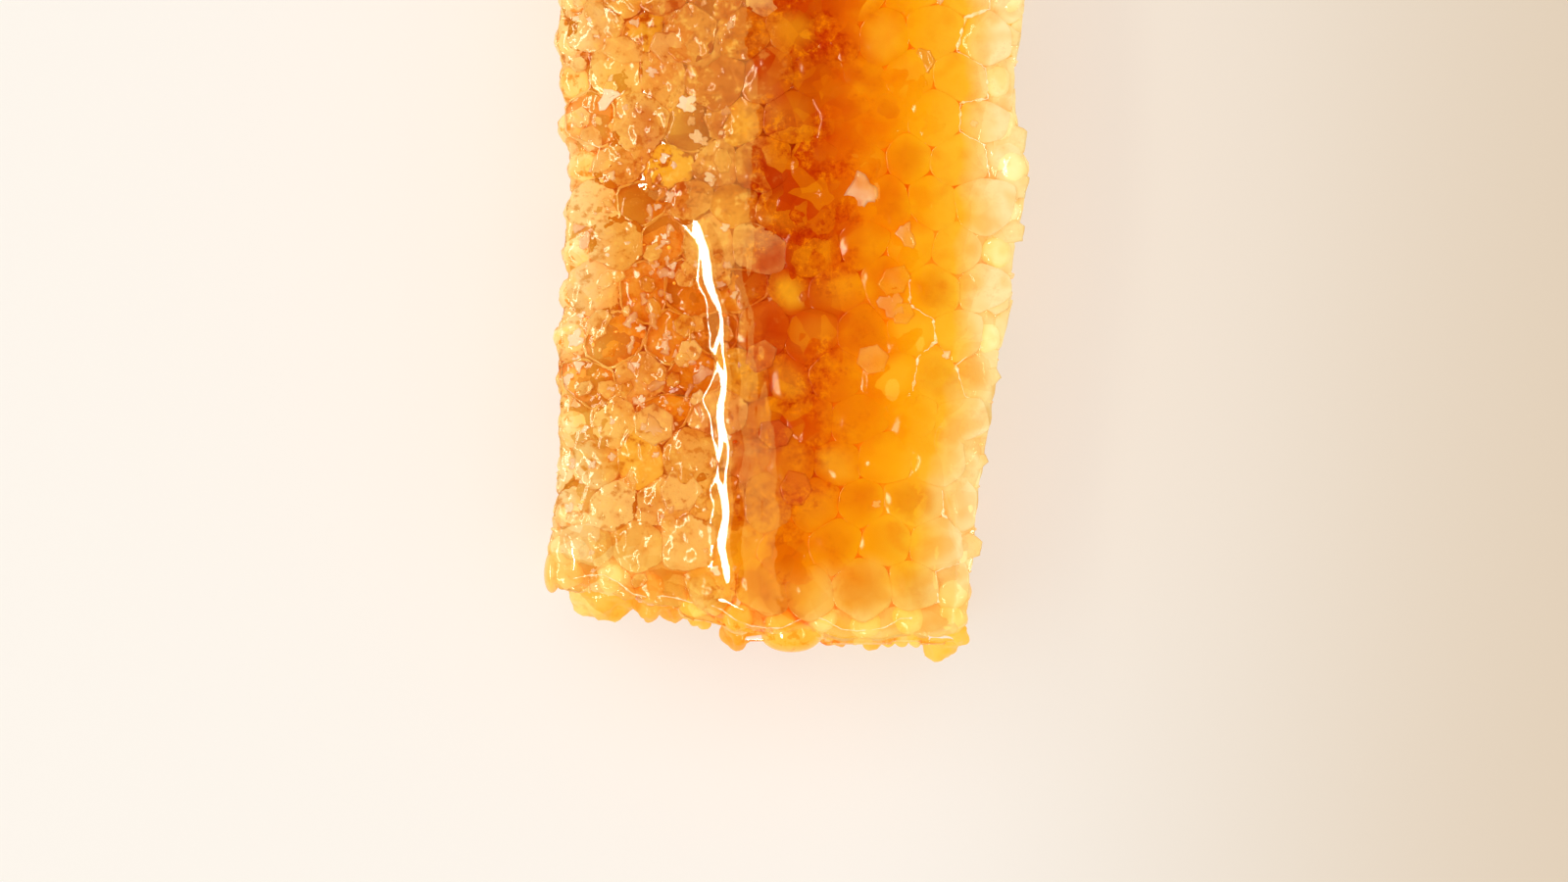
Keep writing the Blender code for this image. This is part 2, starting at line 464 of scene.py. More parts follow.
def square_off(obj):
    """Turns a twelve-sided form into a hexagon with narrow flats at its six corners."""
    flat = math.radians(CORNER_FLAT)
    for vert in obj.data.vertices:
        step = round(math.atan2(vert.co.x, vert.co.y) / math.radians(30))
        angle = math.radians(60) * (step // 2) + (flat if step % 2 else -flat)
        reach = vert.co.xy.length * math.cos(math.radians(30)) / math.cos(math.radians(30) - flat)
        vert.co.x = reach * math.sin(angle)
        vert.co.y = reach * math.cos(angle)


def six_sided(name, radius, depth, ends):
    """A six-sided form whose upper end lies at height 0. Its ends are filled or left open."""
    deselect_all()
    bpy.ops.mesh.primitive_cylinder_add(
        vertices=12, radius=radius, depth=depth, end_fill_type=ends, location=(0, 0, -depth / 2)
    )
    form = take_new(name)
    bpy.ops.object.transform_apply(location=True, rotation=False, scale=False)
    square_off(form)
    return form


def cell_reach(sizes):
    """How far a cell reaches from its middle to its corners, with the gap taken off."""
    return SIDE - sizes.cell_gap / math.sqrt(3)


def cell_template(name, radius, depth, border, crown):
    """One cell as a six-sided plug with a narrow rounded edge and a crowned top."""
    plug = six_sided(name, radius, depth, "NGON")
    bpy.ops.object.mode_set(mode="EDIT")
    select_faces(plug, lambda face: face.normal.z > 0.9)
    bpy.ops.mesh.extrude_region_move(TRANSFORM_OT_translate={"value": (0, 0, EDGE_ROUND)})
    bpy.ops.mesh.inset(thickness=EDGE_ROUND, depth=0)
    bpy.ops.mesh.inset(thickness=border, depth=crown * 0.6)
    bpy.ops.mesh.inset(thickness=(radius - border) * 0.45, depth=crown * 0.4)
    bpy.ops.object.mode_set(mode="OBJECT")
    return plug


def rim_shares(template, radius):
    """How near each point of a cell is to its rim: 0 at its middle, 1 at the rim and below."""
    upper = [vert.co.z > -0.4 * MM for vert in template.data.vertices]
    reach = [min(vert.co.xy.length / radius, 1.0) for vert in template.data.vertices]
    return [share if top else 1.0 for share, top in zip(reach, upper, strict=True)]


class Place:
    """Where one copy of a template goes, and its own shade."""

    def __init__(self, matrix, shade, hue):
        self.matrix = matrix
        self.shade = shade
        self.hue = hue


def scatter(name, template, places, rims):
    """One piece made of a copy of the template at each place. Each point keeps its copy's
    shade and hue, and its nearness to the rim, in the attribute named tint. Rims has that
    nearness for each point of the template, or one number for them all."""
    if isinstance(rims, float):
        rims = [rims] * len(template.data.vertices)
    points = np.array([v.co for v in template.data.vertices])
    ones = np.ones((len(points), 1))
    flat = np.hstack([points, ones])
    faces = [tuple(p.vertices) for p in template.data.polygons]
    all_points = []
    all_faces = []
    tints = []
    for place in places:
        start = len(all_points)
        moved = flat @ np.array(place.matrix).T
        all_points.extend(moved[:, :3].tolist())
        all_faces.extend(tuple(start + i for i in face) for face in faces)
        tints.extend((place.shade, place.hue, rim, 1.0) for rim in rims)
    mesh = bpy.data.meshes.new(name)
    mesh.from_pydata(all_points, [], all_faces)
    layer = mesh.attributes.new("tint", "FLOAT_COLOR", "POINT")
    layer.data.foreach_set("color", np.array(tints, dtype=np.float32).ravel())
    obj = bpy.data.objects.new(name, mesh)
    bpy.context.scene.collection.objects.link(obj)
    return obj


def settle_cells(obj, sizes, margin):
    """Warps a sheet of cells off its lattice and squeezes it in from the cuts."""
    for vert in obj.data.vertices:
        x, y = wander(vert.co.x, vert.co.y, sizes.warp)
        vert.co.x, vert.co.y = outline.pull_in(x, y, margin)


class Cell:
    """One cell of the shown face. Towards the left the cells are capped, and some are torn
    open; towards the right they are full of clear honey."""

    def __init__(self, x, y, rng):
        self.x = x
        self.y = y
        self.inside = outline.inside(x, y)
        left, right = outline.sides(y)
        self.across = (x - left) / (right - left)
        self.shade = rng.random()
        self.hue = rng.random()
        self.lift = rng.random()
        self.lean = Vector((rng.uniform(-1, 1), rng.uniform(-1, 1), 0))
        self.turn = rng.uniform(-1, 1)
        leftness = 1 - smoothstep(0.30, 0.55, self.across)
        soaked = 1 - smoothstep(9 * MM, 17 * MM, y - FOOT)
        chance = rng.random()
        torn_share = TORN_LEFT * leftness + TORN_HOLLOW * hollow(x, y)
        if chance > 1 - torn_share and self.inside > CELL / 2:
            self.kind = "torn"
        elif chance < CAPPED_LEFT * leftness * (1 - 0.8 * soaked):
            self.kind = "capped"
        else:
            self.kind = "open"
        self.calm = 1 - 0.6 * smoothstep(0.35, 0.6, self.across)

    def matrix(self, low, high, lean, scale):
        """Seats the cell between two heights over the seams, leaning up to lean radians.
        Cells full of honey lie calmer than capped ones."""
        z = face_height(self.x, self.y) + (low + (high - low) * self.lift) * self.calm
        lean = lean * self.calm
        tilt = Matrix.Rotation(lean * self.lean.x, 4, "X")
        tilt = tilt @ Matrix.Rotation(lean * self.lean.y, 4, "Y")
        spin = Matrix.Rotation(0.12 * self.turn, 4, "Z")
        return Matrix.Translation((self.x, self.y, z)) @ tilt @ spin @ Matrix.Scale(scale, 4)

    def place(self, low, high, lean, scale=1.0):
        """The cell's place between two heights, with its own shade and hue."""
        return Place(self.matrix(low, high, lean, scale), self.shade, self.hue)


def shown_cells():
    """Every cell of the shown face, and those cut through at its edges."""
    rng = random.Random(5)
    cells = [Cell(x, y, rng) for x, y in lattice(0.0)]
    return [cell for cell in cells if cell.inside > -0.35 * CELL]


def make_front_cells(sizes, cells):
    """The shown face: capped cells as flat tiles, open ones as rounder drops of honey, and
    the low honey of torn ones."""
    radius = cell_reach(sizes)
    tile = cell_template("tile", radius, sizes.cell_depth, 0.55 * MM, 0.08 * MM)
    bulge = cell_template("bulge", radius, sizes.cell_depth, 0.9 * MM, 0.22 * MM)
    capped = [c.place(-0.20 * MM, 0.45 * MM, 0.10, 1.07) for c in cells if c.kind == "capped"]
    full = [c.place(-0.15 * MM, 0.20 * MM, 0.10, OPEN_SWELL) for c in cells if c.kind == "open"]
    torn = [c.place(-1.40 * MM, -0.60 * MM, 0.16) for c in cells if c.kind == "torn"]
    half = len(full) // 2
    tiles = [scatter("capped_cells", tile, capped, rim_shares(tile, radius))]
    drops = [
        scatter("open_cells_foot", bulge, full[:half], rim_shares(bulge, radius)),
        scatter("open_cells_head", bulge, full[half:], rim_shares(bulge, radius)),
        scatter("torn_cells", bulge, torn, rim_shares(bulge, radius)),
    ]
    for obj in tiles + drops:
        settle_cells(obj, sizes, 0.15 * MM)
        subdivide_smooth(obj, 2)
        roughen(obj, 1.5 * MM, 0.36 * MM, 0.12 * MM)
        roughen(obj, 0.5 * MM, 0.12 * MM, 0.02 * MM)
        smooth_shading(obj)
    drop(tile, bulge)
    return tiles, drops


def ring_template(name, radius, depth, wall):
    """The wax wall round one open cell: a thin six-sided tube."""
    ring = six_sided(name, radius, depth, "NOTHING")
    modifier(ring, "SOLIDIFY", thickness=wall, offset=-1.0)
    return ring


def make_rims(sizes, cells):
    """Wax walls that stand up round the torn cells and some of the open ones."""
    radius = cell_reach(sizes)
    ring = ring_template("ring", radius, 1.6 * MM, 0.20 * MM)
    torn = [c.place(-0.05 * MM, 0.25 * MM, 0.05, 1.02) for c in cells if c.kind == "torn"]
    bare = [
        c.place(-0.10 * MM, 0.20 * MM, 0.05)
        for c in cells
        if c.kind == "open" and c.inside > 0.3 * CELL and c.turn > 0.9 - 1.5 * abs(c.across - 0.5)
    ]
    rims = scatter("cell_rims", ring, torn + bare, ALL_RIM)
    settle_cells(rims, sizes, 0.2 * MM)
    split_smoothly(rims, 2)
    lump(rims, 0.7 * MM, 0.45 * MM)
    lump(rims, 0.3 * MM, 0.10 * MM)
    smooth_shading(rims)
    drop(ring)
    return rims


def film_crown(y):
    """X of the film's crown at y: down the middle, drifting right towards the foot."""
    return 3.4 * MM * (1 - smoothstep(FOOT + 8 * MM, FOOT + 46 * MM, y))


def streak_x(y):
    """X of the run's main ridge at y: in from the left below its head, then nearly straight."""
    up = (y - FOOT) / MM
    bend = 2.4 * smoothstep(34, 49, up) - 0.22 * math.sin(up * 0.9)
    return (-6.0 - 0.018 * up - bend) * MM


def ridge(offset, height, width):
    """Height of a rounded ridge at an offset from its line."""
    return height * math.exp(-((offset / width) ** 2))


def film_dome(x, y, sizes):
    """Height over the seams of the honey down the middle: a low dome that falls off faster to
    the left, where it ends in a steep shore beside the run."""
    place = Vector((x, y, 0))
    aside = x - film_crown(y)
    steeper = aside < 0
    radius = sizes.film_radius * (1.0 if steeper else 3.4)
    uneven = (0.15 if steeper else 0.5) * MM * smoothstep(5 * MM, 12 * MM, abs(aside))
    height = sizes.film_rise - aside * aside / (2 * radius)
    height += uneven * noise.noise(place / (5 * MM))
    shore = streak_x(y) - x - 1.3 * MM * noise.noise(place / (3.2 * MM) + Vector((5, 1, 2)))
    below_head = smoothstep(FOOT + 50 * MM, FOOT + 44 * MM, y)
    return height - SHORE_DROP * below_head * smoothstep(2.3 * MM, 3.2 * MM, shore)


def film_sheet(x, y):
    """Height over the seams of the thin honey that covers the foot."""
    up = y - outline.foot(x)
    uneven = 0.25 * MM * noise.noise(Vector((x, y, 0)) / (3.5 * MM) + Vector((3, 3, 3)))
    return 0.55 * MM - 1.6 * MM * smoothstep(4 * MM, 13 * MM, up) + uneven


def film_run(x, y):
    """How far the run stands up from the film, with two fine ridges on its right."""
    started = smoothstep(FOOT + 49 * MM, FOOT + 45 * MM, y)
    ended = smoothstep(FOOT + 4 * MM, FOOT + 10 * MM, y)
    offset = x - streak_x(y)
    wobble = 1 + 0.50 * noise.noise(Vector((0, y / (3.6 * MM), 0)))
    height = ridge(offset, RUN_HEIGHT * wobble, RUN_WIDTH)
    for aside, fine_height, width in FINE_RIDGES:
        height += ridge(offset - aside, fine_height, width)
    return started * ended * height


def film_roll(x, y):
    """How far the film rolls down towards its ragged edges. At the foot it reaches the cut."""
    up = y - outline.foot(x)
    ragged = 2.6 * MM * noise.noise(Vector((x, y, 0)) / (4.5 * MM))
    ragged *= smoothstep(6 * MM, 12 * MM, up)
    margin = 2.6 * MM * smoothstep(6 * MM, 16 * MM, up)
    roll = 1 - smoothstep(-1.0 * MM, 4.0 * MM, outline.inside(x, y) - margin + ragged)
    return FILM_ROLL * roll * roll


def film_top(x, y, sizes):
    """Height of the clear honey's surface."""
    top = FACE + max(film_dome(x, y, sizes), film_sheet(x, y))
    ripple = 0.03 * MM * noise.noise(Vector((x / (3 * MM), y / (12 * MM), 0)))
    return top + film_run(x, y) + ripple - film_roll(x, y)


def make_film(sizes):
    """Clear honey over the middle and the foot of the shown face. Where its top would lie
    below the cells there is none."""
    width = HIGH.x - LOW.x + 2 * MM
    height = HIGH.y - LOW.y + 2 * MM
    columns = round(width / FILM_STEP)
    rows = round(height / FILM_STEP)
    deselect_all()
    bpy.ops.mesh.primitive_grid_add(x_subdivisions=columns, y_subdivisions=rows, size=1.0)
    film = take_new("honey_film")
    resize(film, (width, height, 1))
    for vert in film.data.vertices:
        vert.co.z = film_top(vert.co.x, vert.co.y, sizes)
    bpy.ops.object.mode_set(mode="EDIT")
    select_faces(film, lambda face: hidden_film(face.calc_center_median()))
    bpy.ops.mesh.delete(type="FACE")
    bpy.ops.object.mode_set(mode="OBJECT")
    modifier(film, "SOLIDIFY", thickness=FILM_DEPTH, offset=-1.0)
    modifier(film, "SMOOTH", factor=0.5, iterations=2)
    smooth_shading(film)
    return film


def hidden_film(place):
    """Whether the film here lies well below the cells, or past the cuts."""
    left, right = outline.sides(place.y)
    beside = place.x < left + SIDE_MARGIN or place.x > right - SIDE_MARGIN
    outside = outline.inside(place.x, place.y) < -0.8 * MM or place.y > HIGH.y - SIDE_MARGIN
    sunk = place.z < face_height(place.x, place.y) - 0.8 * MM
    return beside or outside or sunk


def flake_template(name, rng, points, thickness, jag):
    """A torn scrap of wax, one millimetre across and slightly curled. Its outline has this
    many points, which jag makes uneven."""
    deselect_all()
    bpy.ops.mesh.primitive_circle_add(vertices=points, radius=0.5 * MM, fill_type="NGON")
    flake = take_new(name)
    for vert in flake.data.vertices:
        vert.co *= rng.uniform(1 - jag, 1 + jag / 3)
    bpy.ops.object.mode_set(mode="EDIT")
    select_faces(flake, lambda face: True)
    bpy.ops.mesh.inset(thickness=0.14 * MM, depth=rng.uniform(-0.08, 0.08) * MM)
    bpy.ops.object.mode_set(mode="OBJECT")
    modifier(flake, "SOLIDIFY", thickness=thickness, offset=0.0)
    return flake


FLAKES_AT = (
    # flakes that stand out: across, up, size in mm, and shade
    (7.9, 50.3, 4.4, 0.2),
    (-19.4, 60.2, 3.0, 1.0),
    (-11.0, 59.5, 2.4, 0.9),
    (-14.5, 24.5, 3.8, 0.3),
    (12.6, 45.5, 3.0, 0.1),
    (11.2, 38.0, 3.4, 0.2),
    (-12.5, 49.5, 1.8, 0.8),
    (-9.2, 30.5, 2.6, 0.5),
    (-9.8, 56.0, 1.8, 0.9),
    (-22.6, 46.8, 2.6, 1.0),
    (-21.6, 44.9, 2.1, 1.0),
    (-23.0, 34.2, 2.4, 1.0),
    (-22.7, 31.6, 2.1, 1.0),
    (-23.4, 29.6, 2.8, 1.0),
    (-22.9, 21.0, 1.8, 1.0),
)
SLABS_AT = (
    # broken caps that stand out: across, up, size in mm, and shade
    (-11.7, 18.0, 4.9, 1.0),
    (9.0, 32.0, 4.0, 0.5),
    (11.4, 40.5, 4.0, 0.1),
    (12.2, 37.0, 3.0, 0.2),
    (0.8, 18.2, 4.0, 0.0),
    (-3.0, 32.4, 4.4, 0.2),
    (-1.5, 24.0, 4.0, 0.0),
    (-14.6, 25.0, 5.2, 0.6),
    (-9.5, 65.4, 5.0, 0.3),
    (-12.8, 65.6, 5.2, 0.6),
    (-17.8, 65.4, 5.0, 0.5),
    (23.0, 67.0, 4.8, 0.8),
    (23.7, 55.5, 4.6, 0.6),
    (23.9, 51.0, 4.8, 0.4),
    (23.6, 46.0, 4.0, 0.7),
    (22.4, 38.5, 3.6, 0.8),
    (21.2, 30.0, 3.6, 0.9),
    (20.2, 21.0, 3.2, 0.9),
    (19.4, 12.0, 3.2, 1.0),
)


def strewn(rng, x, y, size, low, high, lean):
    """Where a scrap of this size lies, between two heights over the seams."""
    z = face_height(x, y) + rng.uniform(low, high)
    turn = Matrix.Rotation(rng.uniform(0, 2 * math.pi), 4, "Z")
    tilt = Matrix.Rotation(rng.uniform(-lean, lean), 4, rng.choice("XY"))
    grow = Matrix.Diagonal((size, size * rng.uniform(0.6, 1.0), min(size, 1.3), 1))
    return Matrix.Translation((x, y, z)) @ tilt @ turn @ grow


def somewhere(rng, right_share):
    """A place on the shown face, mostly in its left third."""
    while True:
        x = rng.uniform(LOW.x, HIGH.x)
        y = rng.uniform(LOW.y, HIGH.y)
        keep = 1.0 if x < -5 * MM else right_share
        if outline.inside(x, y) > 0.8 * MM and rng.random() < keep:
            return x, y


def make_scraps(name, shapes, groups, height, levels):
    """One piece for each shape, with a copy of it at each of its places."""
    made = []
    for number, (shape, places) in enumerate(zip(shapes, groups, strict=True)):
        rims = [min(vert.co.xy.length / (0.5 * MM), 1.0) * 0.8 for vert in shape.data.vertices]
        piece = scatter(f"{name}_{number + 1}", shape, places, rims)
        split_smoothly(piece, levels)
        roughen(piece, 0.6 * MM, height, height)
        roughen(piece, 0.35 * MM, height * 0.9, height * 0.5)
        smooth_shading(piece)
        made.append(piece)
    drop(*shapes)
    return made


def make_flakes():
    """Small scraps of wax, a few large ones among them, mostly between the caps on the left."""
    rng = random.Random(31)
    shapes = [flake_template(f"flake_{number}", rng, 15, 0.10 * MM, 0.48) for number in range(3)]
    groups = [[] for _ in shapes]
    for number, (across, up, size, shade) in enumerate(FLAKES_AT):
        matrix = strewn(rng, across * MM, FOOT + up * MM, size, 0.35 * MM, 0.5 * MM, 0.15)
        groups[number % len(shapes)].append(Place(matrix, shade, rng.random()))
    for number in range(FLAKES):
        x, y = somewhere(rng, 0.05)
        matrix = strewn(rng, x, y, rng.uniform(0.3, 1.25), 0.15 * MM, 0.50 * MM, 0.5)
        groups[number % len(shapes)].append(Place(matrix, rng.random(), rng.random()))
    return make_scraps("wax_flakes", shapes, groups, 0.10 * MM, 1)


def make_slabs():
    """Broken caps, larger and thicker than flakes, lying over each other."""
    rng = random.Random(19)
    shapes = [flake_template(f"slab_{number}", rng, 6, 0.22 * MM, 0.15) for number in range(2)]
    groups = [[] for _ in shapes]
    for number, (across, up, size, shade) in enumerate(SLABS_AT):
        matrix = strewn(rng, across * MM, FOOT + up * MM, size, 0.32 * MM, 0.42 * MM, 0.05)
        groups[number % len(shapes)].append(Place(matrix, shade, 0.2))
    for number in range(SLABS):
        x, y = somewhere(rng, 0.02)
        matrix = strewn(rng, x, y, rng.uniform(1.2, 3.2), -0.05 * MM, 0.35 * MM, 0.22)
        groups[number % len(shapes)].append(Place(matrix, rng.random(), rng.random()))
    return make_scraps("wax_slabs", shapes, groups, 0.12 * MM, 2)


def column_template(name, radius, height):
    """Honey in a cell that the knife cut open lengthwise: a soft upright roll."""
    deselect_all()
    bpy.ops.mesh.primitive_cylinder_add(
        vertices=8, radius=radius, depth=height, end_fill_type="NGON"
    )
    column = take_new(name)
    bpy.ops.object.mode_set(mode="EDIT")
    select_faces(column, lambda face: abs(face.normal.z) > 0.9)
    bpy.ops.mesh.inset(thickness=radius * 0.45, depth=0.3 * MM)
    bpy.ops.object.mode_set(mode="OBJECT")
    return column


def fin_template(name, height):
    """The edge of a wax wall where it meets a cut, divided twice along its height."""
    deselect_all()
    bpy.ops.mesh.primitive_cube_add(size=1.0)
    fin = take_new(name)
    resize(fin, (0.22 * MM, 1.1 * MM, height))
    bpy.ops.object.mode_set(mode="EDIT")
    for share in (0.2, -0.15):
        bpy.ops.mesh.select_all(action="SELECT")
        bpy.ops.mesh.bisect(plane_co=(0, 0, height * share), plane_no=(0, 0, 1))
    bpy.ops.object.mode_set(mode="OBJECT")
    return fin


def cut_places():
    """Places of the opened cells along the cuts, above and below the midrib, and of the wax
    walls between them. A wall that would stand clear of the comb is left out."""
    rng = random.Random(8)
    columns = []
    fins = []
    for number, (spot, out) in enumerate(outline.walk(ROW)):
        facing = Matrix.Rotation(math.atan2(out.x, -out.y), 4, "Z")
        along = Vector((-out.y, out.x, 0))
        proud = (0.15 if number % 2 else 0.45) * MM
        for z in (MIDRIB * 0.5 + 0.1 * MM, MIDRIB * 1.5 - 0.55 * MM):
            place = spot - out * (COLUMN_RADIUS - proud - rng.uniform(-0.15, 0.2) * MM)
            stretch = Matrix.Diagonal((1, 1, rng.uniform(0.90, 1.0), 1))
            matrix = Matrix.Translation((place.x, place.y, z)) @ facing @ stretch
            columns.append(Place(matrix, rng.random(), rng.random()))
            edge = spot + along * ROW / 2 - out * rng.uniform(0.15, 0.5) * MM
            matrix = Matrix.Translation((edge.x, edge.y, z)) @ facing
            fin = Place(matrix, rng.random(), rng.random())
            if outline.inside(edge.x, edge.y) > 0:
                fins.append(fin)
    return columns, fins


def make_cut_sides():
    """The cut sides: rows of opened cells above and below the midrib, their walls between."""
    reach = MIDRIB - 1.6 * MM
    column = column_template("column", COLUMN_RADIUS, reach)
    fin = fin_template("fin", reach)
    columns, fins = cut_places()
    honey = scatter("cut_cells", column, columns, NEAR_MIDDLE)
    walls = scatter("cut_walls", fin, fins, ALL_RIM)
    for piece in (honey, walls):
        subdivide_smooth(piece, 2)
        lump(piece, 2.5 * MM, 0.8 * MM)
        lump(piece, 0.8 * MM, 0.25 * MM)
        keep_above(piece, 0.15 * MM)
        smooth_shading(piece)
    drop(column, fin)
    return honey, walls


LOBES = (
    # honey and wax that hang from the foot: across, height over the table, width, reach and
    # thickness in mm, and shade
    (-20.3, 16.0, 8.5, 6.4, 9.0, 0.9),
    (-15.2, 19.0, 3.0, 3.4, 4.0, 0.5),
    (-12.3, 14.0, 3.4, 3.4, 5.0, 0.2),
    (-9.6, 12.0, 3.0, 2.6, 4.0, 0.6),
    (-5.4, 12.0, 4.9, 5.0, 6.0, 0.2),
    (1.0, 9.0, 3.6, 2.4, 5.0, 0.4),
    (2.9, 19.0, 2.2, 2.4, 3.6, 0.7),
    (5.2, 15.0, 3.0, 3.2, 4.4, 0.1),
    (7.4, 20.0, 2.0, 2.6, 3.4, 0.6),
    (9.2, 14.0, 2.2, 3.0, 4.0, 0.3),
    (10.7, 20.0, 1.6, 2.2, 3.0, 0.9),
    (12.3, 17.0, 2.4, 2.9, 4.0, 0.8),
    (14.0, 20.0, 1.6, 2.4, 3.4, 1.0),
    (16.6, 15.0, 5.2, 5.6, 7.0, 1.0),
    (18.4, 19.0, 2.4, 3.0, 4.0, 1.0),
)


def lobe_template(name):
    """A rounded lobe one unit across, a little pinched towards where it hangs from."""
    deselect_all()
    bpy.ops.mesh.primitive_uv_sphere_add(segments=12, ring_count=8, radius=0.5)
    lobe = take_new(name)
    for vert in lobe.data.vertices:
        vert.co.x *= 1 - 0.25 * vert.co.y
    return lobe


def make_lobes():
    """Lobes of honey and wax along the foot, where the cut let them out."""
    rng = random.Random(3)
    lobe = lobe_template("lobe")
    places = []
    for across, height, width, reach, thickness, shade in LOBES:
        spot = Vector((across * MM, outline.foot(across * MM), height * MM))
        size = Matrix.Diagonal((width * MM, reach * MM, thickness * MM, 1))
        turn = Matrix.Rotation(rng.uniform(-0.3, 0.3), 4, "Z")
        places.append(Place(Matrix.Translation(spot) @ turn @ size, shade, rng.random()))
    lobes = scatter("foot_lobes", lobe, places, NEAR_MIDDLE)
    subdivide_smooth(lobes, 2)
    roughen(lobes, 1.8 * MM, 0.9 * MM, 0.9 * MM)
    roughen(lobes, 0.6 * MM, 0.18 * MM, 0.18 * MM)
    smooth_shading(lobes)
    drop(lobe)
    return lobes


def make_lip():
    """The rounded lip of honey at the foot, where the film runs together, and the bead of
    honey at the foot's left corner."""
    lobe = lobe_template("lip_shape")
    lip_middle = (0.3 * MM, outline.foot(0) + 0.7 * MM, FACE - 2.6 * MM)
    bead_middle = (LOW.x + 0.60 * MM, FOOT + 9.2 * MM, FACE - 2.0 * MM)
    places = []
    for middle, size in ((lip_middle, (7.0, 4.6, 5.0)), (bead_middle, (1.9, 5.0, 4.2))):
        grow = Matrix.Diagonal((*(part * MM for part in size), 1))
        places.append(Place(Matrix.Translation(middle) @ grow, 0.8, 0.8))
    lip = scatter("honey_lip", lobe, places, NEAR_MIDDLE)
    subdivide_smooth(lip, 2)
    smooth_shading(lip)
    drop(lobe)
    return lip


def make_grains():
    """Granules and tiny bubbles that lie in the hollows between the caps on the left."""
    rng = random.Random(44)
    deselect_all()
    bpy.ops.mesh.primitive_uv_sphere_add(segments=8, ring_count=6, radius=0.5 * MM)
    grain = take_new("grain")
    places = []
    for _ in range(GRAINS):
        x, y = somewhere(rng, 0.04)
        size = rng.uniform(0.25, 0.7)
        z = face_height(x, y) - rng.uniform(0.0, 0.45) * MM
        turn = Matrix.Rotation(rng.uniform(0, math.pi), 4, "Z")
        grow = Matrix.Diagonal((size, size * rng.uniform(0.6, 1.0), size * 0.8, 1))
        matrix = Matrix.Translation((x, y, z)) @ turn @ grow
        places.append(Place(matrix, rng.random(), rng.random()))
    grains = scatter("grains", grain, places, 0.4)
    smooth_shading(grains)
    drop(grain)
    return grains


def joined(name, pieces):
    """Pieces joined into one of this name, shaded smooth."""
    deselect_all()
    for piece in pieces:
        piece.select_set(True)
    bpy.context.view_layer.objects.active = pieces[0]
    bpy.ops.object.join()
    whole = take_new(name)
    smooth_shading(whole)
    return whole


def thread(name, points, radius, beads):
    """A fine round thread through these points, as a mesh. Along it stand beads, up to this
    many times as thick."""
    deselect_all()
    bpy.ops.curve.primitive_nurbs_path_add()
    path = take_new(name)
    path.data.splines.clear()
    spline = path.data.splines.new("POLY")
    spline.points.add(len(points) - 1)
    for point, place in zip(spline.points, points, strict=True):
        bead = smoothstep(0.05, 0.45, noise.noise(Vector(place) / (0.5 * MM)))
        point.co = (*place, 1)
        point.radius = THREAD_NECK + (beads - THREAD_NECK) * bead
    path.data.bevel_depth = radius
    path.data.bevel_resolution = 1
    path.data.use_fill_caps = True
    select_only(path)
    bpy.ops.object.convert(target="MESH")
    return path


def dense(corners, step, jitter, rng):
    """Points about a step apart along the line through these corners, each a little off it."""
    points = []
    for start, end in zip(corners, corners[1:]):
        count = max(1, round((end - start).length / step))
        for number in range(count):
            off = Vector((rng.uniform(-jitter, jitter), rng.uniform(-jitter, jitter), 0))
            points.append(start.lerp(end, number / count) + off)
    return points


def seam_points(rng, sizes, column, row, rows, side):
    """Points up a seam of the shown face that steps from cell corner to cell corner."""
    corners = []
    for number in range(row, row + rows):
        x = (column + 0.5 + (0.5 * side if number % 2 else 0.0)) * CELL
        for y in (number * ROW - SIDE / 2, number * ROW + SIDE / 2):
            x_there, y_there = wander(x, y, sizes.warp)
            corners.append(Vector((*outline.pull_in(x_there, y_there, 0.9 * MM), 0)))
    points = []
    for point in dense(corners, 0.3 * MM, 0.07 * MM, rng):
        points.append((point.x, point.y, face_height(point.x, point.y) + 0.22 * MM))
    return points


SEAMS = (
    # seams with beads of honey on them: column, first row, rows, and which way they zigzag
    (3, 1, 5, 1),
    (4, 6, 5, -1),
    (3, -6, 4, 1),
    (3, -9, 3, -1),
    (4, -2, 3, 1),
    (2, -4, 3, 1),
    (-5, 1, 3, 1),
    (-5, -5, 3, -1),
    (-5, 8, 2, 1),
)


def hem_points(rng):
    """Points along the film's lower edge, which waves across the foot."""
    corners = []
    for number in range(HEM_POINTS):
        x = LOW.x + 3.0 * MM + number * HEM_PITCH
        y = outline.foot(x) + (1.5 + 0.5 * math.sin(number * 0.9)) * MM
        corners.append(Vector((x, y, face_height(x, y) + 0.75 * MM)))
    return [tuple(point) for point in dense(corners, 0.4 * MM, 0.03 * MM, rng)]


def make_threads(sizes):
    """Beaded seams along the margins, and the film's pale lower edge, partly a painted highlight."""
    rng = random.Random(21)
    pieces = []
    for number, (column, row, rows, side) in enumerate(SEAMS):
        points = seam_points(rng, sizes, column, row, rows, side)
        pieces.append(thread(f"seam_{number}", points, 0.09 * MM, 2.2))
    pieces.append(thread("hem", hem_points(rng), 0.11 * MM, 1.3))
    return joined("wax_threads", pieces)


def worm_points(rng, start):
    """Points along a short worm that crawls off from start, turning at each step."""
    x, y = start
    way = rng.uniform(0.8, 2.4)
    corners = []
    for _ in range(rng.randint(3, 4)):
        corners.append(Vector((x, y, face_height(x, y) + rng.uniform(-0.1, 0.3) * MM)))
        way += rng.uniform(-0.9, 0.9)
        x += WORM_STEP * math.cos(way)
        y += WORM_STEP * math.sin(way)
    return [tuple(point) for point in dense(corners, 0.3 * MM, 0.02 * MM, rng)]


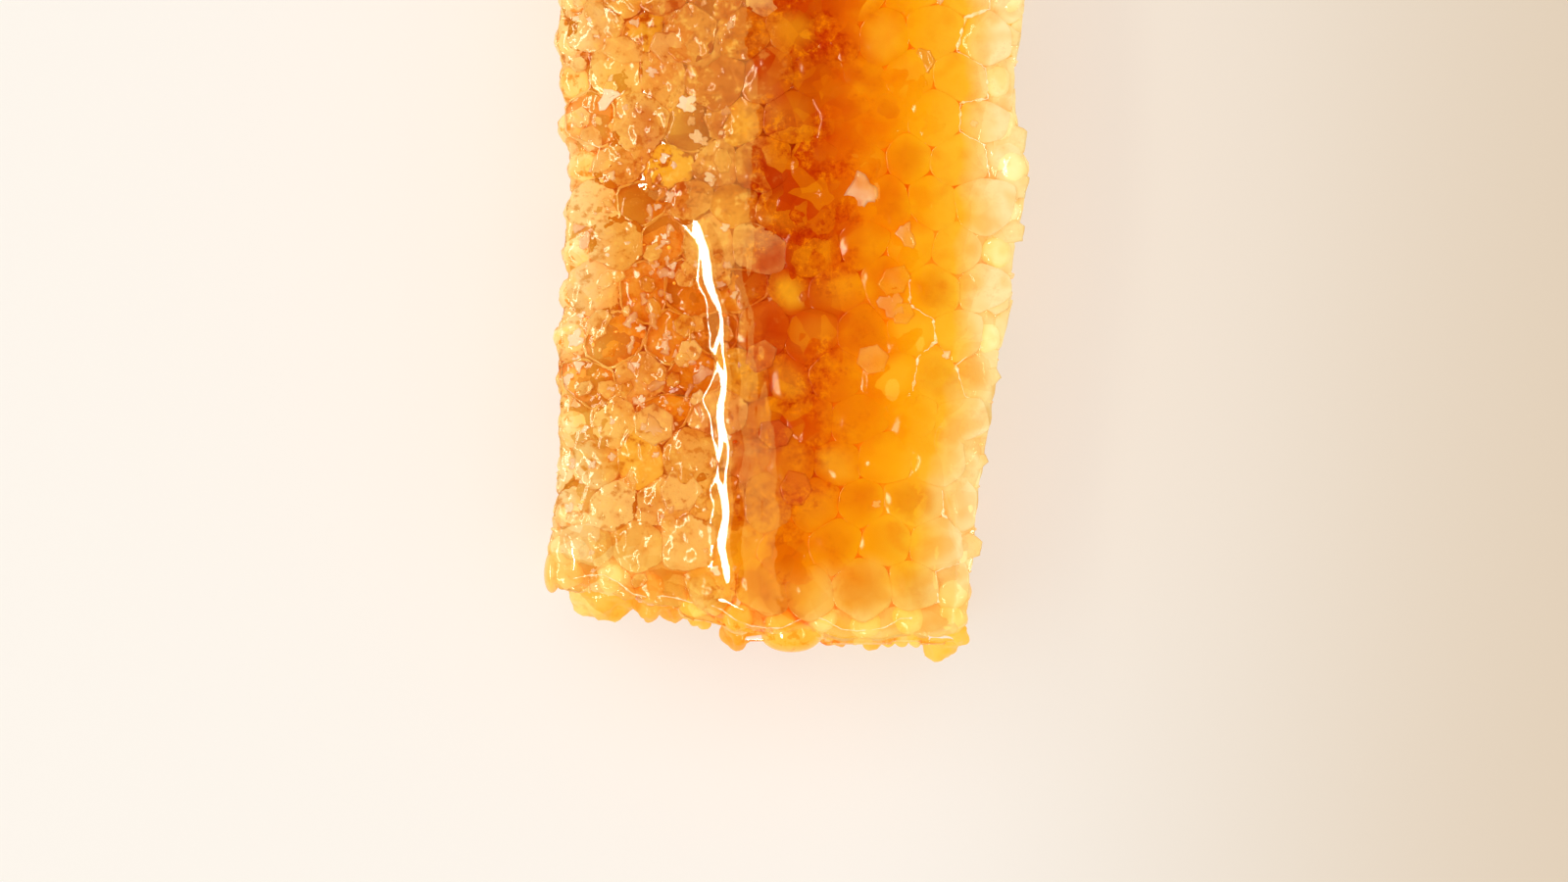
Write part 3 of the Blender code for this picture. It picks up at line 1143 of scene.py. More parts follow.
def make_worms():
    """Wrinkles of wax that stand up left of the run, like short soft worms."""
    rng = random.Random(9)
    starts = []
    while len(starts) < WORMS:
        spot = Vector((rng.uniform(-17.5, -8.6) * MM, FOOT + rng.uniform(24, 47) * MM))
        if all((spot - other).length > WORM_GAP for other in starts):
            starts.append(spot)
    pieces = []
    for number, start in enumerate(starts):
        pieces.append(thread(f"worm_{number}", worm_points(rng, start), 0.50 * MM, 1.2))
    worms = joined("wax_wrinkles", pieces)
    modifier(worms, "SMOOTH", factor=0.5, iterations=2)
    layer = worms.data.attributes.new("tint", "FLOAT_COLOR", "POINT")
    for point in layer.data:
        point.color = WORM_TINT
    return worms


def make_back_cells(sizes):
    """The back face: capped cells, flat where they rest on the table."""
    rng = random.Random(12)
    radius = cell_reach(sizes)
    tile = cell_template("back_tile", radius, 1.6 * MM, 0.55 * MM, 0.10 * MM)
    over = Matrix.Rotation(math.pi, 4, "X")
    places = []
    for x, y in lattice(SIDE):
        if outline.inside(x, y) > 0.6 * MM:
            z = (0.1 + rng.uniform(0, 0.25)) * MM + EDGE_ROUND
            places.append(Place(Matrix.Translation((x, y, z)) @ over, rng.random(), rng.random()))
    back = scatter("back_cells", tile, places, rim_shares(tile, radius))
    settle_cells(back, sizes, 0.15 * MM)
    subdivide_smooth(back, 1)
    lump(back, 1.3 * MM, 0.2 * MM)
    keep_above(back, 0.0)
    smooth_shading(back)
    drop(tile)
    return back


# --- Materials ------------------------------------------------------------------------------


def colour_all(n, shader, base):
    """Gives a shader this colour, both for what it scatters and for its painted glow, which stands
    in for light that comes through.
    """
    n.put(shader.inputs["Base Color"], base)
    n.put(shader.inputs["Emission Color"], base)


class Nodes:
    """A node tree that is built from left to right."""

    def __init__(self, tree):
        self.tree = tree

    def add(self, kind, settings=None, **inputs):
        """Adds a node, sets its own settings, and sets or links its inputs by name."""
        made = self.tree.nodes.new(kind)
        for key, value in (settings or {}).items():
            setattr(made, key, value)
        for key, value in inputs.items():
            self.put(made.inputs[key.replace("_", " ")], value)
        return made

    def put(self, socket, value):
        """Links an output to a socket, or sets the socket's value. Plain colours are opaque."""
        if isinstance(value, bpy.types.NodeSocket):
            self.tree.links.new(value, socket)
        elif socket.type == "RGBA":
            socket.default_value = (*value[:3], 1.0)
        else:
            socket.default_value = value

    def math(self, operation, *values):
        """A Math node's output."""
        made = self.add("ShaderNodeMath", {"operation": operation})
        for socket, value in zip(made.inputs, values):
            self.put(socket, value)
        return made.outputs[0]

    def times(self, *factors):
        """The product of two values or more."""
        product = factors[0]
        for factor in factors[1:]:
            product = self.math("MULTIPLY", product, factor)
        return product

    def vector(self, operation, *values):
        """A Vector Math node's outputs."""
        made = self.add("ShaderNodeVectorMath", {"operation": operation})
        for socket, value in zip(made.inputs, values):
            self.put(socket, value)
        return made.outputs

    def spread(self, value, low, high, to_low=0.0, to_high=1.0):
        """Value mapped smoothly from low..high to to_low..to_high."""
        made = self.add("ShaderNodeMapRange", {"interpolation_type": "SMOOTHSTEP"})
        for index, part in enumerate((value, low, high, to_low, to_high)):
            self.put(made.inputs[index], part)
        return made.outputs[0]

    def band(self, value, rise, fall, after=0.0):
        """1 between a rise and a fall of the value, 0 before them and after past them."""
        return self.times(self.spread(value, *rise), self.spread(value, *fall, 1.0, after))

    def mix(self, factor, first, second, blend="MIX"):
        """Two colours mixed."""
        made = self.add("ShaderNodeMix", {"data_type": "RGBA", "blend_type": blend})
        made.clamp_factor = True
        self.put(made.inputs["Factor"], factor)
        self.put(made.inputs[6], first)
        self.put(made.inputs[7], second)
        return made.outputs[2]

    def filtered(self, first, glass):
        """A colour seen through glass of another colour."""
        return self.mix(1.0, first, glass, "MULTIPLY")

    def ramp(self, factor, stops):
        """A colour ramp through these (place, colour) stops."""
        made = self.add("ShaderNodeValToRGB", Fac=factor)
        elements = made.color_ramp.elements
        while len(elements) < len(stops):
            elements.new(0.5)
        for element, (place, shade) in zip(elements, stops, strict=True):
            element.position = place
            element.color = (*shade, 1.0)
        return made.outputs[0]

    def noise(self, scale, detail, vector, roughness=0.5):
        """A noise value whose lumps are about scale metres across."""
        made = self.add("ShaderNodeTexNoise", Vector=vector, Scale=1 / scale, Detail=detail)
        made.inputs["Roughness"].default_value = roughness
        return made.outputs[0]

    def object_place(self):
        """The point's place on its own piece."""
        return self.add("ShaderNodeTexCoord").outputs["Object"]

    def shared(self, groups):
        """The outputs of the depth and grain groups, which all wax and honey share."""
        made = [self.add("ShaderNodeGroup", {"node_tree": groups[key]}) for key in ("depth", "grain")]
        return [node.outputs for node in made]

    def rough_up(self, shader, height, strength, distance):
        """Gives a shader's surface the grain of this height."""
        made = self.add("ShaderNodeBump", Height=height, Strength=strength, Distance=distance)
        self.put(shader.inputs["Normal"], made.outputs["Normal"])


def new_group(name, outputs):
    """An empty shader group with these named outputs, its nodes and its output node."""
    tree = bpy.data.node_groups.new(name, "ShaderNodeTree")
    for label, kind in outputs:
        tree.interface.new_socket(name=label, in_out="OUTPUT", socket_type=kind)
    nodes = Nodes(tree)
    return tree, nodes, tree.nodes.new("NodeGroupOutput")


class Where:
    """Where in the piece a point lies, as outputs that the honey's colours share. A slow
    drift keeps the bounds between colours from running straight."""

    def __init__(self, n):
        self.place = n.object_place()
        self.axes = n.add("ShaderNodeSeparateXYZ", Vector=self.place).outputs
        drift = n.times(n.math("SUBTRACT", n.noise(7 * MM, 2.0, self.place), 0.5), 5 * MM)
        x = n.math("ADD", self.axes["X"], drift)
        right = n.spread(self.axes["Y"], FOOT, 2 * MM, RIGHT_AT_FOOT, RIGHT_CUT)
        width = n.math("SUBTRACT", right, LEFT_CUT)
        self.across = n.math("DIVIDE", n.math("SUBTRACT", x, LEFT_CUT), width)
        self.y = n.math("ADD", self.axes["Y"], n.times(drift, 1.5))

    def above_foot(self, n, start, end, before=0.0, after=1.0):
        """A smooth change between two distances from the foot."""
        return n.spread(self.y, FOOT + start * MM, FOOT + end * MM, before, after)


def colour_across(n, colours, where):
    """The honey's colour from the left cut to the right one, which is paler at the foot."""
    head = n.ramp(
        where.across,
        [
            (0.04, colours.straw),
            (0.13, colours.sand),
            (0.21, colours.amber),
            (0.34, colours.copper),
            (0.45, colours.ember),
            (0.54, colours.ember),
            (0.62, colours.tangerine),
            (0.71, colours.marigold),
            (0.78, colours.saffron),
            (0.86, colours.lemon),
            (0.95, colours.cream),
        ],
    )
    foot = n.ramp(
        where.across,
        [
            (0.05, colours.cream),
            (0.14, colours.primrose),
            (0.30, colours.sand),
            (0.40, colours.saffron),
            (0.50, colours.marigold),
            (0.58, colours.marigold),
            (0.72, colours.saffron),
            (0.84, colours.lemon),
            (0.93, colours.cream),
        ],
    )
    return n.mix(where.above_foot(n, 4, 26, 1.0, 0.0), head, foot)


def colour_by_depth(n, colours, where):
    """That colour, richer towards the head, paler along the very foot and the left cut, and
    pale too in the middle of the comb's thickness, which light reaches from the sides."""
    face = colour_across(n, colours, where)
    upper = n.times(n.band(where.across, (0.15, 0.25), (0.56, 0.66)), where.above_foot(n, 36, 46))
    face = n.mix(upper, face, n.filtered(face, RICH))
    thick = n.band(where.across, (0.36, 0.44), (0.56, 0.66))
    lowest = n.times(where.above_foot(n, 4, 11, 0.92, 0.0), n.spread(thick, 0.0, 1.0, 1.0, 0.5))
    face = n.mix(lowest, face, colours.primrose)
    side = n.times(where.above_foot(n, 8, 42, 1.0, 0.0), n.spread(where.across, 0.03, 0.18, 0.95, 0.0))
    face = n.mix(side, face, colours.cream)
    off = n.math("ABSOLUTE", n.math("SUBTRACT", where.axes["Z"], MIDRIB))
    return n.mix(n.spread(off, 4 * MM, 12.0 * MM, 0.35, 0.0), face, colours.saffron)


def colour_hollow(n, colours, where, honey, leftness):
    """Sunny patches on the left, and the deep amber of the hollow left of the run."""
    patches = n.spread(n.noise(8 * MM, 1.0, where.place), 0.48, 0.66, 0.0, 0.6)
    honey = n.mix(n.times(leftness, patches), honey, colours.sunny)
    away = n.vector("SUBTRACT", where.place, (-12.8 * MM, FOOT + 34 * MM, FACE))[0]
    scaled = n.vector("MULTIPLY", away, (1 / (8 * MM), 1 / (13 * MM), 0))[0]
    reach = n.vector("LENGTH", scaled)["Value"]
    return n.mix(n.spread(reach, 0.3, 1.1, 0.65, 0.0), honey, colours.hollow)


def colour_layers(n, colours, where, honey, leftness):
    """Soft clouds, and the shards of wax that show from below, crisp on the left and soft in
    the thick honey on the right."""
    wobble = n.add("ShaderNodeTexNoise", Vector=where.place, Scale=1 / (2.5 * MM), Detail=1.0)
    bent = n.add("ShaderNodeVectorMath", {"operation": "SCALE"}, Vector=wobble.outputs["Color"])
    bent.inputs["Scale"].default_value = 1.1 * MM
    bent_place = n.vector("ADD", where.place, bent.outputs[0])[0]
    cloud = n.noise(3.2 * MM, 1.5, where.place)
    crisp = n.spread(where.across, 0.54, 0.68, 1.0, 0.2)
    bright = n.times(n.math("SUBTRACT", 1.0, crisp), n.spread(cloud, 0.50, 0.72, 0.0, 0.45))
    honey = n.mix(bright, honey, colours.saffron)
    honey = n.mix(n.spread(cloud, 0.30, 0.50, 0.45, 0.0), honey, n.filtered(honey, MURKY))
    for size, strength in ((4.4 * MM, 1.0), (2.3 * MM, 0.6)):
        shards = n.add("ShaderNodeTexVoronoi", Vector=bent_place, Scale=1 / size)
        parts = n.add("ShaderNodeSeparateColor", Color=shards.outputs["Color"]).outputs
        pale = n.mix(leftness, colours.saffron, colours.cap)
        lighter = n.times(crisp, n.spread(parts["Red"], 0.55, 1.0, 0.0, 0.34 * strength))
        honey = n.mix(lighter, honey, pale)
        darker = n.times(crisp, n.spread(parts["Green"], 0.55, 1.0, 0.0, 0.75 * strength))
        honey = n.mix(darker, honey, n.filtered(honey, SHARD))
    return honey


def colour_grain(n, colours, where, honey):
    """Burnt and lit grains in patches of the thickest honey."""
    grainy = n.noise(1.0 * MM, 5.0, where.place, 0.75)
    patches = n.spread(n.noise(5 * MM, 1.0, where.place), 0.42, 0.58)
    middle = n.times(n.band(where.across, (0.30, 0.42), (0.58, 0.72), 0.15), patches)
    burnt = n.times(middle, n.spread(grainy, 0.38, 0.50, 0.9, 0.0))
    honey = n.mix(burnt, honey, n.filtered(honey, BURNT))
    return n.mix(n.times(middle, n.spread(grainy, 0.52, 0.64, 0.0, 0.6)), honey, colours.marigold)


def honey_depth_group(colours):
    """The honey's colour by place: pale at the cuts, where light comes through, deep in the
    middle, and lighter again towards the foot. Left and Edge are masks of the left third and
    of the shown face's side margins."""
    tree, n, out = new_group(
        "honey_depth",
        [("Color", "NodeSocketColor"), ("Left", "NodeSocketFloat"), ("Edge", "NodeSocketFloat")],
    )
    where = Where(n)
    high_up = n.spread(where.axes["Y"], FOOT + 9 * MM, FOOT + 18 * MM, 0.25, 1.0)
    leftness = n.times(n.spread(where.across, 0.34, 0.52, 1.0, 0.0), high_up)
    honey = colour_by_depth(n, colours, where)
    honey = colour_hollow(n, colours, where, honey, leftness)
    honey = colour_layers(n, colours, where, honey, leftness)
    honey = colour_grain(n, colours, where, honey)
    n.put(out.inputs["Color"], n.filtered(honey, (DIM, DIM, DIM)))
    n.put(out.inputs["Left"], leftness)
    left_margin = n.spread(where.across, 0.03, 0.15, 1.0, 0.0)
    margin = n.math("MAXIMUM", left_margin, n.spread(where.across, 0.80, 0.93))
    top = n.spread(where.axes["Z"], FACE - 5 * MM, FACE - 2.5 * MM)
    n.put(out.inputs["Edge"], n.times(margin, top))
    return tree


def grain_group():
    """Wax's fine grain: specks like tiny bubbles, a serrated pattern for the edges of caps,
    soft clouds, and finer mottling."""
    labels = ("Specks", "Torn", "Cloud", "Mottle")
    tree, n, out = new_group("wax_grain", [(label, "NodeSocketFloat") for label in labels])
    place = n.object_place()
    beads = n.add("ShaderNodeTexVoronoi", {"feature": "F1"}, Vector=place, Scale=1 / (0.45 * MM))
    n.put(out.inputs["Specks"], n.spread(beads.outputs["Distance"], 0.12, 0.34, 1.0, 0.0))
    n.put(out.inputs["Torn"], n.noise(0.55 * MM, 3.0, place, 0.6))
    n.put(out.inputs["Cloud"], n.noise(2.6 * MM, 2.0, place))
    n.put(out.inputs["Mottle"], n.noise(1.3 * MM, 4.0, place, 0.65))
    return tree


def new_material(name):
    """A material with its tree emptied but for a Principled shader and the output."""
    made = bpy.data.materials.new(name)
    made.use_nodes = True
    tree = made.node_tree
    shader = next(node for node in tree.nodes if node.type == "BSDF_PRINCIPLED")
    return made, Nodes(tree), shader


def tint_parts(n):
    """Shade, hue and rim, as the cells' tint attribute holds them."""
    tint = n.add("ShaderNodeAttribute", {"attribute_name": "tint"}).outputs["Color"]
    parts = n.add("ShaderNodeSeparateColor", Color=tint).outputs
    return parts["Red"], parts["Green"], parts["Blue"]


def wet(shader, gloss, painted_glow=PAINTED_GLOW):
    """Sets what honey and wax share: a painted glow of their own colour, standing in for light that
    comes through from within, and a coat of honey of this weight lies over the dull stuff."""
    shader.inputs["Emission Strength"].default_value = painted_glow
    shader.inputs["Specular IOR Level"].default_value = 0.0
    shader.inputs["Coat Weight"].default_value = gloss
    shader.inputs["Coat Roughness"].default_value = 0.08
    shader.inputs["Coat IOR"].default_value = HONEY_IOR


def body_material(groups, colours):
    """The honey between and below the cells: the deepest of its colours, darkened by a painted shade.
    """
    made, n, shader = new_material("shaded_deep_honey")
    wet(shader, 0.2)
    depth, grain = n.shared(groups)
    # Painted shade: the honey between the cells is darkened, more on the left, as if shade fell there.
    shadow = n.mix(depth["Left"], SHADOW, LEFT_SHADOW)
    deep = n.mix(0.8, depth["Color"], shadow, "MULTIPLY")
    colour_all(n, shader, n.mix(n.times(grain["Specks"], 0.35), deep, depth["Color"]))
    n.put(shader.inputs["Roughness"], n.spread(grain["Cloud"], 0.3, 0.7, 0.25, 0.45))
    height = n.math("ADD", n.times(grain["Specks"], 0.4), grain["Torn"])
    n.rough_up(shader, height, 0.3, 0.2 * MM)
    return made


def open_cell_material(groups, colours, name="cell_honey", gloss=0.35, painted_glow=PAINTED_GLOW, soaked=0.0):
    """A cell full of honey, each a little lighter, darker, yellower or redder than the next.
    The more it is soaked, the nearer it comes to the hollow's deep amber, a painted shade."""
    made, n, shader = new_material(name)
    wet(shader, gloss, painted_glow)
    depth, grain = n.shared(groups)
    shade, hue, rim = tint_parts(n)
    own = n.math("MAXIMUM", depth["Left"], n.spread(rim, 0.30, 0.98, 1.0, 0.0))
    own = n.times(own, n.spread(depth["Edge"], 0.0, 1.0, 1.0, 0.3))
    yellow = n.times(own, n.spread(hue, 0.45, 1.0, 0.0, 0.45))
    base = n.mix(yellow, depth["Color"], colours.saffron)
    light = n.times(own, n.spread(shade, 0.6, 1.0, 0.0, 0.32))
    base = n.mix(light, base, colours.lemon)
    dark = n.times(own, n.spread(shade, 0.0, 0.4, 0.7, 0.0))
    base = n.mix(dark, base, n.filtered(depth["Color"], DARK_CELL))
    seam = n.math("ADD", rim, n.times(n.math("SUBTRACT", grain["Torn"], 0.5), 0.25))
    brown = n.filtered(depth["Color"], SEAM_BROWN)
    strength = n.times(n.spread(depth["Left"], 0.0, 1.0, 0.08, 0.55), n.spread(seam, 0.84, 1.0))
    base = n.mix(strength, base, brown)
    base = mottled(n, grain["Mottle"], depth["Left"], base, brown, colours)
    # Soaked mixes in the hollow's amber: painted shade for torn cells that lie low in the pit.
    colour_all(n, shader, n.mix(soaked, base, colours.hollow))
    shader.inputs["Roughness"].default_value = 0.3
    height = n.math("ADD", n.times(grain["Specks"], 0.12), grain["Cloud"])
    n.rough_up(shader, height, 0.2, 0.3 * MM)
    return made


def mottled(n, mottle, amount, base, deep, colours):
    """Base with deeper and paler mottling in it, by this amount."""
    lower = n.times(amount, n.spread(mottle, 0.34, 0.49, 0.95, 0.0))
    upper = n.times(amount, n.spread(mottle, 0.54, 0.68, 0.0, 0.55))
    return n.mix(upper, n.mix(lower, base, deep), colours.sunny)


def cap_edge(n, depth, grain, hue, rim):
    """How near a point of a cap is to the cap's serrated edge, past which it is broken away.
    On the left some caps are broken further than others."""
    serrated = n.times(n.math("SUBTRACT", grain["Torn"], 0.5), 0.40)
    torn = n.times(n.math("SUBTRACT", grain["Cloud"], 0.5), n.spread(hue, 0.5, 1.0, 0.15, 1.6))
    broken = n.times(torn, depth["Left"])
    patchy = n.times(n.math("SUBTRACT", grain["Cloud"], 0.60), 0.8)
    edge = n.math("ADD", n.math("ADD", rim, patchy), serrated)
    return n.math("ADD", edge, broken)


def cap_material(groups, colours):
    """A capped cell: dull wax with serrated edges, some of it broken away, the crust and
    honey showing round and through it."""
    made, n, shader = new_material("cell_wax")
    wet(shader, 0.35)
    depth, grain = n.shared(groups)
    shade, hue, rim = tint_parts(n)
    wax = n.spread(cap_edge(n, depth, grain, hue, rim), 0.90, 0.94, 1.0, 0.0)
    clouded = n.math("ADD", shade, n.times(n.math("SUBTRACT", grain["Cloud"], 0.5), 1.2))
    tone = n.ramp(hue, [(0.05, colours.pale_cap), (0.35, colours.cap), (0.8, colours.brown_cap)])
    tone = n.mix(depth["Edge"], tone, colours.pale_cap)
    cap = n.mix(n.spread(clouded, 0.0, 1.1, 0.05, 0.52), depth["Color"], tone)
    dark = n.filtered(depth["Color"], CRUST)
    cap = mottled(n, grain["Mottle"], n.times(depth["Left"], 0.8), cap, dark, colours)
    crust = n.mix(n.times(grain["Specks"], 0.6), dark, colours.cap)
    crust = n.mix(depth["Left"], depth["Color"], crust)
    colour_all(n, shader, n.mix(wax, crust, cap))
    n.put(shader.inputs["Roughness"], n.spread(wax, 0.0, 1.0, 0.3, 0.5))
    fine = n.math("ADD", grain["Torn"], n.times(grain["Specks"], 0.3))
    n.rough_up(shader, n.math("ADD", n.times(wax, 0.8), fine), 0.6, 0.14 * MM)
    return made


def wall_material(groups, colours, name, paleness, painted_glow):
    """Bare wax walls: paler than the honey beside them, with a dull skin."""
    made, n, shader = new_material(name)
    wet(shader, 0.4, painted_glow)
    depth, grain = n.shared(groups)
    pale = n.mix(paleness, depth["Color"], colours.cap)
    colour_all(n, shader, n.mix(n.spread(grain["Torn"], 0.35, 0.65), pale, depth["Color"]))
    n.put(shader.inputs["Roughness"], n.spread(grain["Cloud"], 0.3, 0.7, 0.3, 0.5))
    n.rough_up(shader, grain["Torn"], 0.4, 0.2 * MM)
    return made


def flake_material(groups, colours):
    """Loose wax: pale and faintly pink, the honey's colour soaking into it."""
    made, n, shader = new_material("loose_wax")
    wet(shader, 0.3)
    depth, grain = n.shared(groups)
    shade, hue, _ = tint_parts(n)
    wax = n.mix(n.spread(hue, 0.4, 0.8, 0.0, 0.6), colours.flake, SOAKED_WAX)
    soak = n.math("SUBTRACT", grain["Cloud"], n.times(shade, 0.40))
    colour_all(n, shader, n.mix(n.spread(soak, 0.1, 0.5, 0.20, 0.85), wax, depth["Color"]))
    n.put(shader.inputs["Roughness"], n.spread(grain["Torn"], 0.3, 0.7, 0.3, 0.5))
    n.rough_up(shader, grain["Torn"], 0.5, 0.1 * MM)
    return made


def thread_material(groups, colours):
    """Threads of wax and honey at the margins, paler than all else: partly their own wax, partly
    a painted highlight.
    """
    made, n, shader = new_material("wax_thread")
    wet(shader, 1.0, EDGE_PAINTED_GLOW)
    depth, grain = n.shared(groups)
    # Painted highlight: the threads are paled towards the flake colour, partly their own wax.
    paleness = n.spread(grain["Torn"], 0.35, 0.6, 0.25, 0.85)
    colour_all(n, shader, n.mix(paleness, depth["Color"], colours.flake))
    shader.inputs["Roughness"].default_value = 0.3
    return made


def film_material():
    """Clear runny honey. Only what looks straight at it sees its bend and gloss, so the
    lamps reach the comb below."""
    made, n, shader = new_material("clear_honey")
    shader.inputs["Base Color"].default_value = (1.0, 0.93, 0.78, 1.0)
    shader.inputs["Transmission Weight"].default_value = 1.0
    shader.inputs["Roughness"].default_value = 0.02
    shader.inputs["IOR"].default_value = HONEY_IOR
    n.rough_up(shader, n.noise(2.5 * MM, 1.0, n.object_place()), 0.10, 0.3 * MM)
    clear = n.add("ShaderNodeBsdfTransparent")
    mixed = n.add("ShaderNodeMixShader")
    n.put(mixed.inputs[0], n.add("ShaderNodeLightPath").outputs["Is Camera Ray"])
    n.put(mixed.inputs[1], clear.outputs[0])
    n.put(mixed.inputs[2], shader.outputs[0])
    output = next(node for node in n.tree.nodes if node.type == "OUTPUT_MATERIAL")
    n.put(output.inputs["Surface"], mixed.outputs[0])
    return made


def floor_material(colours):
    """The table: matt and pale, with a painted shade that darkens it a little on the right. Half of
    its light is a painted glow of its own, which keeps the honey's shadow and tinge on it faint."""
    made, n, shader = new_material("table")
    across = n.add("ShaderNodeSeparateXYZ", Vector=n.object_place()).outputs["X"]
    # Painted shade: the table darkens towards the right.
    pale = n.mix(n.spread(across, 0.0, SHADE_WIDTH), colours.floor, colours.shaded_floor)
    n.put(shader.inputs["Base Color"], n.mix(0.5, pale, (0, 0, 0)))
    # Painted glow: half of the table's light is its own emission.
    n.put(shader.inputs["Emission Color"], pale)
    shader.inputs["Emission Strength"].default_value = 0.48
    shader.inputs["Roughness"].default_value = 0.75
    return made


# --- Stage ----------------------------------------------------------------------------------

LENS = 100.0  # the camera's focal length in millimetres
SENSOR = 36.0  # width of its sensor in millimetres
VIEW_WIDTH = 168.4 * MM  # width of the view at the shown face
VIEW_CENTRE = (-0.5 * MM, FOOT + 23.3 * MM)
LAMP_HEIGHT = 0.6  # of the soft boxes over the shown face


def make_camera():
    """The camera looks straight down on the shown face, framed on its foot."""
    data = bpy.data.cameras.new("camera")
    data.lens = LENS
    data.sensor_width = SENSOR
    data.clip_start = 0.01
    camera = bpy.data.objects.new("camera", data)
    bpy.context.scene.collection.objects.link(camera)
    camera.location = (*VIEW_CENTRE, HIGH.z + VIEW_WIDTH * LENS / SENSOR)
    bpy.context.scene.camera = camera


def area_light(name, size, place, target, radiance, tint=(1, 1, 1)):
    """A rectangular light of this radiance at place, facing target. Its size is given along
    X and along Y."""
    data = bpy.data.lights.new(name, "AREA")
    data.shape = "RECTANGLE"
    data.size, data.size_y = size
    data.energy = radiance * math.pi * size[0] * size[1]
    data.color = tint
    light = bpy.data.objects.new(name, data)
    bpy.context.scene.collection.objects.link(light)
    back = (Vector(place) - Vector(target)).normalized()
    side = Vector((0, 1, 0)).cross(back).normalized()
    turn = Matrix((side, back.cross(side), back)).transposed()
    light.matrix_world = Matrix.Translation(place) @ turn.to_4x4()
    return light


def make_table(colours):
    """A pale table under the piece."""
    deselect_all()
    bpy.ops.mesh.primitive_plane_add(size=3.0, location=(0, 0, 0))
    floor = take_new("floor")
    floor.data.materials.append(floor_material(colours))


def make_world():
    """Even soft light from all round, which the wet surfaces don't mirror."""
    world = bpy.data.worlds.new("studio")
    world.use_nodes = True
    background = world.node_tree.nodes["Background"]
    background.inputs["Color"].default_value = (1.0, 0.97, 0.93, 1.0)
    background.inputs["Strength"].default_value = 0.62
    world.cycles_visibility.glossy = False
    world.cycles_visibility.transmission = False
    bpy.context.scene.world = world


def lamp_x(angle):
    """X of a lamp at lamp height that is seen from the shown face's middle at this angle."""
    return LAMP_HEIGHT * math.tan(math.radians(angle))


def hung(x):
    """Where a lamp at lamp height hangs at x, over the middle of the view."""
    return x, VIEW_CENTRE[1], HIGH.z + LAMP_HEIGHT


def light_only(name, lamp, pieces):
    """Lets a lamp reach these pieces and nothing else."""
    group = bpy.data.collections.new(name)
    for piece in pieces:
        group.objects.link(piece)
    lamp.light_linking.receiver_collection = group


def make_lamps():
    """A broad light overhead, a soft box at the upper left whose sheen lies on the film, and
    two narrow strips that the wet surfaces mirror. The right strip leaves the film out."""
    overhead = area_light("overhead", (1.7, 1.7), (-0.25, 0.0, 1.1), (0, 0, 0), 0.75)
    overhead.visible_glossy = False
    overhead.visible_transmission = False
    near = lamp_x(-7)
    far = lamp_x(-50)
    middle = (near + far) / 2
    target = (middle, VIEW_CENTRE[1], 0)
    sheen = area_light("sheen", (near - far, 0.7), hung(middle), target, 2.35, (0.8, 0.95, 0.22))
    strips = {}
    for name, angle, width, radiance, tint in (
        ("left_strip", -30, 0.095, 44.0, (1.0, 0.96, 0.72)),
        ("right_strip", 38, 0.02, 34.0, (1.0, 0.93, 0.45)),
    ):
        x = lamp_x(angle)
        target = (x * 0.3, VIEW_CENTRE[1], 0)
        strips[name] = area_light(name, (width, 0.9), hung(x), target, radiance, tint)
    for lamp in (sheen, *strips.values()):
        lamp.visible_diffuse = False
    film = bpy.data.objects["honey_film"]
    meshes = [obj for obj in bpy.context.scene.collection.objects if obj.type == "MESH"]
    light_only("wet_pieces", sheen, [film])
    light_only("dry_pieces", strips["right_strip"], [obj for obj in meshes if obj != film])


# --- Operators and panel --------------------------------------------------------------------


def groups_of(scene):
    """The shader groups that the piece's materials share, made when first asked for."""
    if "honey_depth" not in bpy.data.node_groups:
        honey_depth_group(scene.comb_colours)
        grain_group()
    groups = bpy.data.node_groups
    return {"depth": groups["honey_depth"], "grain": groups["wax_grain"]}


class MESH_OT_comb_body(bpy.types.Operator):
    """Make the honey and wax that all cells stand in"""

    bl_idname = "mesh.comb_body"
    bl_label = "Body"

    def execute(self, context):
        body = make_body(context.scene.comb_sizes)
        finish_piece(body, body_material(groups_of(context.scene), context.scene.comb_colours))
        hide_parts("comb")
        return {"FINISHED"}


class MESH_OT_comb_cells(bpy.types.Operator):
    """Make the shown face's capped and open cells, and the walls round the open ones"""

    bl_idname = "mesh.comb_cells"
    bl_label = "Shown cells"

    def execute(self, context):
        sizes = context.scene.comb_sizes
        colours = context.scene.comb_colours
        groups = groups_of(context.scene)
        cells = shown_cells()
        tiles, drops = make_front_cells(sizes, cells)
        wax = cap_material(groups, colours)
        honey = open_cell_material(groups, colours)
        for piece in tiles:
            finish_piece(piece, wax)
        # Torn cells lie low in the pit; their deeper amber is a painted shade.
        soaked = open_cell_material(groups, colours, "pit_shaded_honey", 0.35, PAINTED_GLOW, 0.45)
        for piece in drops:
            finish_piece(piece, soaked if piece.name == "torn_cells" else honey)
        finish_piece(make_rims(sizes, cells), wall_material(groups, colours, "rim_wax", 0.15, PAINTED_GLOW))
        return {"FINISHED"}


class MESH_OT_comb_back(bpy.types.Operator):
    """Make the capped cells of the back face"""

    bl_idname = "mesh.comb_back"
    bl_label = "Back cells"

    def execute(self, context):
        back = make_back_cells(context.scene.comb_sizes)
        finish_piece(back, cap_material(groups_of(context.scene), context.scene.comb_colours))
        return {"FINISHED"}


class MESH_OT_comb_sides(bpy.types.Operator):
    """Make the cells and walls that the knife opened along the cuts"""

    bl_idname = "mesh.comb_sides"
    bl_label = "Cut sides"

    def execute(self, context):
        colours = context.scene.comb_colours
        groups = groups_of(context.scene)
        honey, walls = make_cut_sides()
        finish_piece(honey, open_cell_material(groups, colours, "cut_honey", 0.4, EDGE_PAINTED_GLOW))
        finish_piece(walls, wall_material(groups, colours, "wax_wall", 0.45, EDGE_PAINTED_GLOW))
        return {"FINISHED"}


